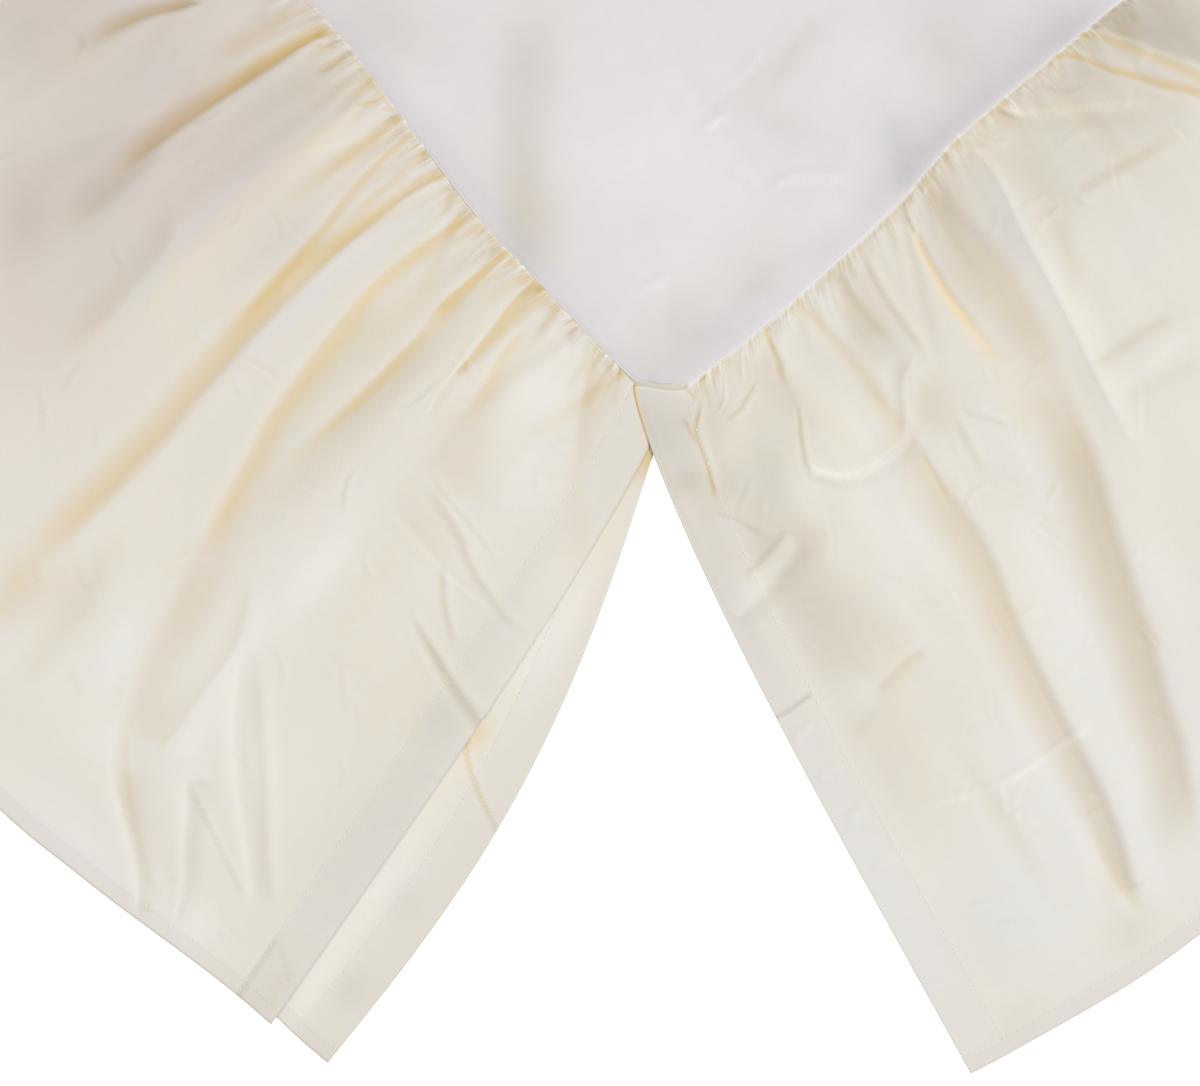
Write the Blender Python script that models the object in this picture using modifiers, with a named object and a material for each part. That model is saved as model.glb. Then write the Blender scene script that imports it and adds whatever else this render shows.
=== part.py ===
"""A bed skirt for a single bed, laid out flat.

A plain deck panel carries three gathered drops, one along each side and one across the foot. They part at
both foot corners, where a narrow underlay lies behind the split. Every piece is a sheet: a grid of ribs that
run from the sewn seam to the bottom hem, raised into folds and then thickened upward.

Tables are in millimetres. A drop's are in its seam's own frame: "along" runs on the seam from the foot
corner of the deck, and "out" points away from the deck, square to that seam.
"""

import bmesh
import bpy
import numpy as np

MM = 0.001

# Driving sizes, in millimetres.
DECK_WIDTH = 991.0
DECK_LENGTH = 1905.0
DROP = 356.0
CLOTH = 1.2             # thickness of every sheet
GAP = 0.3               # air between sheets that lie on each other
PLY = CLOTH + GAP
ALLOWANCE = 12.0        # heading sewn under the deck
CORNER_CUT = 18.0       # off both edges at each foot corner
FLAT_BY_SEAM = 3.0
PUFF = 11.0             # how far the gathered cloth stands off the surface
DECK_WAVE = 2.0

# Each row is one rib of a side drop: where it leaves the seam, where it meets the hem, and its bend between.
SIDE_RIBS = {
    "seam_along": (5, 18, 75, 124, 150, 238, 420, 700, 1000, 1300, 1600, 1885, 1905),
    "seam_out": (-13, 0, 3, 5, 5, -3, -4, 3, -2, 2, -3, 0, 0),
    "hem_along": (-96, -75, 12, 70, 145, 262, 452, 736, 1040, 1350, 1655, 1955, 1977),
    "hem_out": (326, 329, 347, 356, 359, 357, 352, 357, 354, 357, 353, 354, 354),
    "bend": (-9, -8, 11, 6, 4, 7, 0, 3, -3, 4, -2, 0, 0),
}
# The foot drop's ribs, from the corner to the middle of the foot.
FOOT_RIBS = {
    "seam_along": (-1, 17.5, 87, 192, 268, 380, 495.5),
    "seam_out": (-17, 0, 2.6, -5, -3, 2, 0),
    "hem_along": (-95, -74, 8, 104, 228, 372, 495.5),
    "hem_out": (329, 334, 349, 354, 356, 357, 355),
    "bend": (-10, -9, -8, 4, 6, 2, 0),
}
# The underlay's ribs: its outer edge, its hem's stitch line, its middle and its hidden inner edge.
UNDERLAY_RIBS = {
    "seam_along": (5, 18, 60, 110),
    "seam_out": (-13, 0, 3, 5),
    "hem_along": (-127, -106, -42, 22),
    "hem_out": (318, 321, 325, 328),
    "bend": (-24, -22, -8, 0),
}

# Fold valleys of the side drop by the corner: each runs from the seam, by a middle point, to where it fades.
SIDE_VALLEYS = {
    "from_along": (238, 150, 124, 102, 75, 39, 291, 226, 92),
    "from_out": (4, 5, 7, 4, 3, 12, 51, 118, 216),
    "by_along": (252, 156, 130, 101, 76, 24, 302, 212, 64),
    "by_out": (75, 93, 92, 50, 42, 30, 80, 147, 284),
    "to_along": (262, 148, 99, 97, 57, 6, 330, 197, 1),
    "to_out": (230, 258, 196, 118, 92, 49, 190, 186, 326),
    "width": (15, 12, 11, 8, 8, 7, 12, 10, 14),
    "depth": (0.95, 0.9, 0.85, 0.6, 0.7, 0.6, 0.7, 0.6, 0.6),
}
# Fold valleys of the foot drop by the corner.
FOOT_VALLEYS = {
    "from_along": (63, 145, 164, 118, 21, 46, 110, 268, 245),
    "from_out": (2, 16, 10, 9, 4, 144, 183, 3, 3),
    "by_along": (50, 137, 153, 112, 8, 31, 88, 280, 262),
    "by_out": (41, 45, 81, 50, 20, 232, 240, 20, 16),
    "to_along": (34, 131, 120, 103, -7, 11, 58, 350, 330),
    "to_out": (85, 93, 187, 92, 50, 328, 299, 120, 140),
    "width": (10, 8, 13, 7, 6, 12, 11, 9, 9),
    "depth": (0.9, 0.9, 0.85, 0.5, 0.6, 0.75, 0.7, 0.8, 0.8),
}
# The foot drop's one long standing ridge.
FOOT_RIDGE = {
    "from_along": 192, "from_out": 4, "by_along": 168, "by_out": 102, "to_along": 131, "to_out": 236,
    "width": 9, "height": 6.5,
}

# Lift over the sheets underneath: distances along the seam, and plies at each. The deck's two go in over
# the headings of the side drops and of the foot drop.
SIDE_LIFT = ((0, 120, 150), (PLY, PLY, 0))
FOOT_LIFT = ((0, 40, 110), (2 * PLY, 2 * PLY, 0))
DECK_LIFT_BY_SIDE = ((0, 45, 100, 130, 170), (3 * PLY, 3 * PLY, 2 * PLY, 2 * PLY, PLY))
DECK_LIFT_BY_FOOT = ((0, 50, 125), (3 * PLY, 3 * PLY, PLY))

# Where the ribs are cut across, as shares of their length.
FINE_ROWS = (0.0, 0.012, 0.05, 0.10, 0.17, 0.25, 0.34, 0.44, 0.55, 0.67, 0.80, 0.90, 1.0)
PLAIN_ROWS = (0.0, 0.012, 0.07, 0.16, 0.28, 0.42, 0.58, 0.76, 1.0)
UNDERLAY_ROWS = (0.0, 0.012, 0.12, 0.26, 0.42, 0.6, 0.8, 1.0)

IVORY = (0.86, 0.79, 0.66, 1.0)
WHITE = (0.84, 0.82, 0.84, 1.0)


def ease(value, low, high):
    """A soft step from 0 at low to 1 at high: 3w^2 - 2w^3."""
    share = np.clip((value - low) / (high - low), 0.0, 1.0)
    return share * share * (3.0 - 2.0 * share)


def through_knots(places, knots, column):
    """A cubic through the column's values at the knots that never overshoots between them."""
    knots, column = np.asarray(knots, float), np.asarray(column, float)
    run = np.diff(knots)
    slope = np.diff(column) / run
    product = slope[:-1] * slope[1:]
    inner = np.where(product > 0, 2 * product / np.where(product > 0, slope[:-1] + slope[1:], 1.0), 0.0)
    tangent = np.concatenate(([slope[0]], inner, [slope[-1]]))
    k = np.clip(np.searchsorted(knots, places, side="right") - 1, 0, len(run) - 1)
    w = (places - knots[k]) / run[k]
    start = (1 + 2 * w) * (1 - w) ** 2 * column[k] + w * (1 - w) ** 2 * run[k] * tangent[k]
    end = w * w * (3 - 2 * w) * column[k + 1] + w * w * (w - 1) * run[k] * tangent[k + 1]
    return start + end


def spread(*stretches):
    """Places along a seam: each stretch is (first, last, pitch), and the last place closes it."""
    places = [
        np.linspace(first, last, max(1, round((last - first) / pitch)), endpoint=False)
        for first, last, pitch in stretches
    ]
    return np.concatenate(places + [[float(stretches[-1][1])]])


def rows_of(table):
    """The rows of a table of named columns."""
    return [dict(zip(table, values)) for values in zip(*table.values())]


def on_fold(along, out, row):
    """1 on the fold's line, falling off over its width to both sides and fading out at its far end.

    The line is the parabola through the row's three points, walked in short straight steps.
    """
    start = np.array((row["from_along"], row["from_out"]), float)
    end = np.array((row["to_along"], row["to_out"]), float)
    control = 2 * np.array((row["by_along"], row["by_out"]), float) - (start + end) / 2
    shares = np.linspace(0.0, 1.0, 13)
    route = [(1 - w) ** 2 * start + 2 * w * (1 - w) * control + w * w * end for w in shares]
    nearest, reached = np.full(along.shape, np.inf), np.zeros(along.shape)
    for a, b, low, high in zip(route[:-1], route[1:], shares[:-1], shares[1:]):
        step = b - a
        share = np.clip(((along - a[0]) * step[0] + (out - a[1]) * step[1]) / (step @ step), 0.0, 1.0)
        away = np.hypot(along - a[0] - share * step[0], out - a[1] - share * step[1])
        reached = np.where(away < nearest, low + share * (high - low), reached)
        nearest = np.minimum(away, nearest)
    return np.exp(-((nearest / row["width"]) ** 2)) * (1.0 - ease(reached, 0.55, 1.0))


def repeated_valleys(first, last, pitch, turn):
    """Valleys where a drop runs on plainly: place, reach, width and drift vary as sines of their count."""
    rows = []
    for k in range(round((last - first) / pitch)):
        along = first + pitch * (k + 0.28 * np.sin(2.3 * k + turn))
        reach = 210.0 + 90.0 * np.sin(1.7 * k + 2 * turn)
        drift = 12.0 * np.sin(0.9 * k + turn)
        rows.append({
            "from_along": along, "from_out": 4.0,
            "by_along": along + 8.0 + 1.1 * drift, "by_out": 0.5 * reach,
            "to_along": along + 18.0 + drift, "to_out": reach,
            "width": 11.0 + 4.0 * np.sin(3.1 * k + turn),
            "depth": 0.75 + 0.2 * np.sin(1.3 * k + turn),
        })
    return rows


def with_mirror_image(ribs, middle):
    """A rib table run on past the middle of its seam as its own mirror image."""
    whole = {}
    for column, values in ribs.items():
        turned = values[-2::-1]
        if column == "bend":
            turned = [-value for value in turned]
        elif column.endswith("along"):
            turned = [2 * middle - value for value in turned]
        whole[column] = [*values, *turned]
    return whole


def lay_ribs(ribs, places, shares, bent_at=0.6, both_ends=False):
    """Plan of a sheet, rib by rib: under the deck, over the seam and down to the hem.

    A point is seam + (hem - seam) v, moved along the seam by bend sin(pi v^bent_at). One more row reaches
    the allowance inward, square to the seam, and turns to the cut corner's slant over the end's 30 mm.
    """
    column = {name: through_knots(places, ribs["seam_along"], ribs[name])[:, None] for name in ribs}
    v = np.asarray(shares)[None, :]
    along = column["seam_along"] + (column["hem_along"] - column["seam_along"]) * v
    along = along + column["bend"] * np.sin(np.pi * v**bent_at)
    out = column["seam_out"] + (column["hem_out"] - column["seam_out"]) * v
    slant = 1.0 - ease(column["seam_along"], places[0], places[0] + 30.0)
    if both_ends:
        slant = slant - ease(column["seam_along"], places[-1] - 30.0, places[-1])
    length = np.hypot(slant, 1.0)
    under_along = column["seam_along"] + ALLOWANCE * slant / length
    under_out = column["seam_out"] - ALLOWANCE / length
    return np.hstack((under_along, along)), np.hstack((under_out, out))


def folds(along, out, open_to_ends, valleys):
    """Height of the folds: a puff off the surface, cut down to it along each valley.

    The puff rises out of the seam, is fullest a quarter of the way down, and dies away at hem and ends.
    """
    down = np.hypot(along - along[:, 1:2], out - out[:, 1:2])
    down[:, 0] = 0.0
    v = down / DROP
    height = PUFF * ease(down, FLAT_BY_SEAM, 60.0) * (1.0 - 0.8 * ease(v, 0.25, 0.8)) * (1.0 - ease(v, 0.8, 0.95))
    height = height * open_to_ends
    for row in valleys:
        height = height * (1.0 - row["depth"] * on_fold(along, out, row))
    return height


def side_drop(valleys, near_pitch, far_pitch, shares):
    """A side drop: close ribs by the foot corner, wider ones up to the head. It lies over the underlay."""
    places = spread((5, 18, 13), (18, 310, near_pitch), (310, 1885, far_pitch), (1885, 1905, 20))
    along, out = lay_ribs(SIDE_RIBS, places, shares)
    by_rib = places[:, None]
    ends = ease(by_rib, 18, 60) * (1.0 - ease(by_rib, 1850, 1885)) * ease(np.hypot(along, out), 45, 85)
    lift = np.interp(by_rib, *SIDE_LIFT)
    return along, out, lift + folds(along, out, ends, valleys)


def foot_drop(near_pitch, far_pitch, shares):
    """The foot drop, which lies over the side drops' ends at both corners."""
    band = CORNER_CUT + 0.5
    places = spread(
        (-1, -1 + band, band), (-1 + band, 310, near_pitch),
        (310, DECK_WIDTH + 1 - band, far_pitch), (DECK_WIDTH + 1 - band, DECK_WIDTH + 1, band),
    )
    along, out = lay_ribs(with_mirror_image(FOOT_RIBS, DECK_WIDTH / 2), places, shares, both_ends=True)
    from_end = np.minimum(places, DECK_WIDTH - places)[:, None]
    from_corner = np.hypot(np.minimum(along, DECK_WIDTH - along), out)
    ends = ease(from_end, 17.5, 45) * ease(from_corner, 35, 75)
    valleys = rows_of(FOOT_VALLEYS) + repeated_valleys(340, 940, 46, 1.1)
    ridge = FOOT_RIDGE["height"] * on_fold(along, out, FOOT_RIDGE) * ease(out, FLAT_BY_SEAM, 40.0)
    lift = np.interp(from_corner, *FOOT_LIFT)
    return along, out, lift + ridge + folds(along, out, ends, valleys)


def underlay():
    """The narrow ply behind the split, flat on the surface."""
    along, out = lay_ribs(UNDERLAY_RIBS, spread((5, 18, 13), (18, 110, 18.4)), UNDERLAY_ROWS, bent_at=1.0)
    return along, out, np.zeros(along.shape)


def deck():
    """The deck: its edges ride over the headings sewn under them and follow the seams' waves.

    The wave of an edge fades out linearly towards the opposite edge. The foot corners are cut off by moving
    the grid's corner point to the middle of the slanted edge.
    """
    near = [0, CORNER_CUT, 50, 88, 125, 190, 260, 340]
    across = np.array(near + [DECK_WIDTH / 2] + [DECK_WIDTH - value for value in near[::-1]])
    by_corner = [0, CORNER_CUT, 45, 100, 130, 170, 220, 300, 380]
    up = np.concatenate((by_corner, np.linspace(490, 1890, 13), [DECK_LENGTH]))
    foot_ribs = with_mirror_image(FOOT_RIBS, DECK_WIDTH / 2)
    side_wave = through_knots(np.maximum(up, 5), SIDE_RIBS["seam_along"], SIDE_RIBS["seam_out"]) * ease(up, 5, 30)
    foot_wave = through_knots(across, foot_ribs["seam_along"], foot_ribs["seam_out"])
    foot_wave = foot_wave * ease(np.minimum(across, DECK_WIDTH - across), 5, 30)
    a, b = np.meshgrid(across, up, indexing="ij")
    x = a - side_wave[None, :] * (1 - 2 * a / DECK_WIDTH)
    y = b - foot_wave[:, None] * (1 - b / DECK_LENGTH)
    for corner, inward in ((0, 1), (-1, -1)):
        x[corner, 0] += inward * CORNER_CUT / 2
        y[corner, 0] += CORNER_CUT / 2
    from_side = np.minimum(a, DECK_WIDTH - a)
    by_side = (1.0 - ease(from_side, CORNER_CUT, 50)) * np.interp(b, *DECK_LIFT_BY_SIDE)
    by_foot = (1.0 - ease(b, CORNER_CUT, 50)) * np.interp(from_side, *DECK_LIFT_BY_FOOT)
    inside = ease(from_side, 50, 120) * ease(b, 50, 120) * (1.0 - ease(b, 1750, 1850))
    wave = DECK_WAVE * inside * ease(np.sin(a / 95.0) * np.sin(b / 140.0), 0.5, 1.0)
    return x, y, np.maximum(by_side, by_foot) + wave


def on_left(along, out, z):
    """A side sheet's place on the left of the deck."""
    return -out, along, z


def on_right(along, out, z):
    """A side sheet's place on the right of the deck."""
    return DECK_WIDTH + out, along, z


def at_foot(along, out, z):
    """The foot sheet's place below the deck."""
    return along, -out, z


def cloth_finish(name, colour):
    """A plain matt cloth."""
    finish = bpy.data.materials.new(name)
    finish.use_nodes = True
    shader = finish.node_tree.nodes["Principled BSDF"]
    shader.inputs["Base Color"].default_value = colour
    shader.inputs["Roughness"].default_value = 0.6
    shader.inputs["Metallic"].default_value = 0.0
    return finish


def cloth_sheet(name, points, colour, collection):
    """One sheet: a grid laid on its underside's points, faces up, with the cloth's thickness above it."""
    columns, rows = points.shape[:2]
    grid = bmesh.new()
    bmesh.ops.create_grid(grid, x_segments=columns - 1, y_segments=rows - 1, size=0.5)
    for vert in grid.verts:
        i = round((vert.co.x + 0.5) * (columns - 1))
        j = round((vert.co.y + 0.5) * (rows - 1))
        vert.co = points[i, j] * MM
    grid.normal_update()
    if sum(face.normal.z for face in grid.faces) < 0:
        bmesh.ops.reverse_faces(grid, faces=grid.faces)
    mesh = bpy.data.meshes.new(name)
    grid.to_mesh(mesh)
    grid.free()
    mesh.materials.append(cloth_finish(f"{name}_cloth", colour))
    mesh.shade_smooth()
    sheet = bpy.data.objects.new(name, mesh)
    collection.objects.link(sheet)
    thickness = sheet.modifiers.new("cloth_thickness", "SOLIDIFY")
    thickness.thickness = CLOTH * MM
    thickness.offset = 1.0


def build():
    """Lays out every sheet from the left foot corner, then centres the whole on its footprint."""
    for obj in list(bpy.data.objects):
        bpy.data.objects.remove(obj, do_unlink=True)
    collection = bpy.data.collections.new("bed_skirt")
    bpy.context.scene.collection.children.link(collection)

    left_valleys = rows_of(SIDE_VALLEYS) + repeated_valleys(345, 1830, 52, 0.4)
    sheets = {
        "deck_panel": deck(),
        "side_drop_left": on_left(*side_drop(left_valleys, 9.5, 26.0, FINE_ROWS)),
        "side_drop_right": on_right(*side_drop(repeated_valleys(60, 1830, 56, 2.2), 22.0, 27.0, PLAIN_ROWS)),
        "foot_drop": at_foot(*foot_drop(9.5, 24.0, FINE_ROWS)),
        "corner_underlay_left": on_left(*underlay()),
        "corner_underlay_right": on_right(*underlay()),
    }
    sheets = {name: np.stack(points, axis=-1) for name, points in sheets.items()}
    every = np.concatenate([points.reshape(-1, 3) for points in sheets.values()])
    middle = (every.min(axis=0) + every.max(axis=0)) / 2
    middle[2] = 0.0
    for name, points in sheets.items():
        cloth_sheet(name, points - middle, WHITE if name == "deck_panel" else IVORY, collection)


build()
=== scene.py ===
"""Dress of the bed skirt: ivory drops with their folds, gathers, hems and stitches, and a plain white deck.

Tables are in millimetres, in a seam's own frame: "along" runs on the seam from the foot corner of the deck,
and "out" points away from the deck, square to that seam.
"""

import bpy
import numpy as np
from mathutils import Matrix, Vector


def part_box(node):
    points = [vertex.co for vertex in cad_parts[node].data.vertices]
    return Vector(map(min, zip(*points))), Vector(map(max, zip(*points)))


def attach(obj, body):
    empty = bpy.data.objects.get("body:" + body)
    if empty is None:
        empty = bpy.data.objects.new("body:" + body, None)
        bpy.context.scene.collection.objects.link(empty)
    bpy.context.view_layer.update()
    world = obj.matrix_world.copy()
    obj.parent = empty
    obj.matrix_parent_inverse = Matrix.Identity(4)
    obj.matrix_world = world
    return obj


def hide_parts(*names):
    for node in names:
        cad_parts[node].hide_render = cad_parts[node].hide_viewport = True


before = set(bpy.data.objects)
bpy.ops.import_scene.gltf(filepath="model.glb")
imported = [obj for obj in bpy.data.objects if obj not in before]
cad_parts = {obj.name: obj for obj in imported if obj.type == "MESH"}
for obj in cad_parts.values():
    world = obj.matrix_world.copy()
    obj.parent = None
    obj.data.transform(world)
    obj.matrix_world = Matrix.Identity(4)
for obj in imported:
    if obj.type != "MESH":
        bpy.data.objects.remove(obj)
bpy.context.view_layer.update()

MM = 0.001

# The skirt's own sizes, as its pieces were cut and laid.
DECK_WIDTH = 991.0
DECK_LENGTH = 1905.0
DROP = 356.0
PLY = 0.75              # from one sheet of a stack to the next
ALLOWANCE = 12.0        # heading sewn under the deck
CORNER_CUT = 18.0
PUFF = 9.0              # how far the gathered cloth stands off the surface
HEM = 9.0               # height of the bottom hem
SHEET = 0.4             # thickness of the cloth that shows
TURNING = 0.2           # what a turned hem adds
COARSE = 4              # the underside has one point for this many on top
CREST_LIGHT = 0.045     # painted highlight: how much paler a crest of 1 mm is painted
STITCH = 2.8            # from one stitch to the next
THREAD_SHARE = 0.72     # how much of that the thread shows
THREAD_RADIUS = 0.22
LAID = 330              # how far along a seam the folds are laid one by one
SIDE_BANDS = (18.3, 1885.0)         # inner lines of a side's two end bands
SIDE_BAND_STITCHES = (17.2, 1886.2)
FOOT_BAND = 17.9
FOOT_BAND_STITCHES = 16.8

SIDE_RIBS = {
    "seam_along": (5, 18, 75, 124, 150, 238, 420, 700, 1000, 1300, 1600, 1885, 1905),
    "seam_out": (-13, 0, 3, 4.6, 3.2, -3, -4, 3, -2, 2, -3, 0, 0),
    "hem_along": (-96, -75, 12, 70, 145, 262, 452, 736, 1040, 1350, 1655, 1955, 1977),
    "hem_out": (326, 329, 347, 356, 359, 357, 352, 357, 354, 357, 353, 354, 354),
    "bend": (-9, -3.5, 11, 6, 4, 7, 0, 3, -3, 4, -2, 0, 0),
}
FOOT_RIBS = {
    "seam_along": (-1, 17.5, 87, 145, 192, 268, 380, 495.5),
    "seam_out": (-17, 0, 2.6, 0.6, -5, -3, 2, 0),
    "hem_along": (-95, -74, 8, 61, 104, 228, 372, 495.5),
    "hem_out": (329, 334, 349, 352.5, 354, 356, 357, 355),
    "bend": (-10, -11.5, -8, -2, 4, 6, 2, 0),
}
UNDERLAY_RIBS = {
    "seam_along": (5, 18, 60, 110),
    "seam_out": (-13, 0, 3, 5),
    "hem_along": (-127, -106, -42, 22),
    "hem_out": (318, 321, 325, 328),
    "bend": (-24, -22, -8, 0),
}

# How high each sheet lies on the others, by the distance from the corner. SEAM_GAP is what the side drop
# rises at its seam to meet the deck.
SIDE_LIFT = ((0, 120, 150), (PLY, PLY, 0))
SEAM_GAP = ((19, 33, 100), (0, PLY, 0))
FOOT_LIFT = ((0, 40, 110), (2 * PLY, 2 * PLY, 0))
DECK_LIFT_BY_SIDE = ((0, 45, 100, 130, 170), (3 * PLY, 3 * PLY, 2 * PLY, 2 * PLY, PLY))
DECK_LIFT_BY_FOOT = ((0, 50, 125), (3 * PLY, 3 * PLY, PLY))

# Short valleys out of a seam: from, to, pitch, depth, reach and strength of their painted warm shade and
# shade.
SIDE_GATHERS = (
    (24, 1886, 13.0, 0.9, 150.0, 0.6),
    (24, 1886, 5.6, 1.3, 34.0, 1.0),
    (24, 1886, 2.9, 0.9, 12.0, 1.1),
)
FOOT_GATHERS = (
    (24, DECK_WIDTH - 24, 14.0, 0.7, 120.0, 0.35),
    (24, DECK_WIDTH - 24, 6.2, 1.0, 22.0, 0.65),
    (20, DECK_WIDTH - 20, 3.1, 0.8, 9.0, 0.9),
)

# Folds laid one by one, each in the order in which Cloth.fold takes it. It follows the line through its
# points,
# "along" and "out". Its trough lies beside the line: "trough" and "trough_end" are its width at both ends of
# the line, on the side of greater "along" where they are positive. "edge" and "edge_end" are how softly the
# cloth turns over the line, "crest" and "dip" its rise before the line and its drop behind it, "warm" and
# "shade" the tone that gathers in it, "fade_in" and "fade_out" the shares of the line over which it dies
# away. The ridges are lines that two folds share, one on either side.
# A fold's "warm" and "shade" are painted warm shade and shade in its trough.
SIDE_RIDGE = (202, 204, 205.5, 203, 197, 192), (5, 30, 62, 108, 148, 176)
FOOT_RIDGE = (
    (191, 190.5, 188.5, 184, 180.5, 177, 172.5, 168, 163.5, 160, 156, 151),
    (2, 14, 27, 40, 52, 68, 86, 104, 120, 134, 150, 175),
)
DECK_RIDGES = (
    ((24, 34, 46), (51.5, 47, 43)),
    ((106, 118, 130, 141), (46, 41, 31, 21)),
    ((102, 109, 117), (86, 85, 82)),
)
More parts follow.
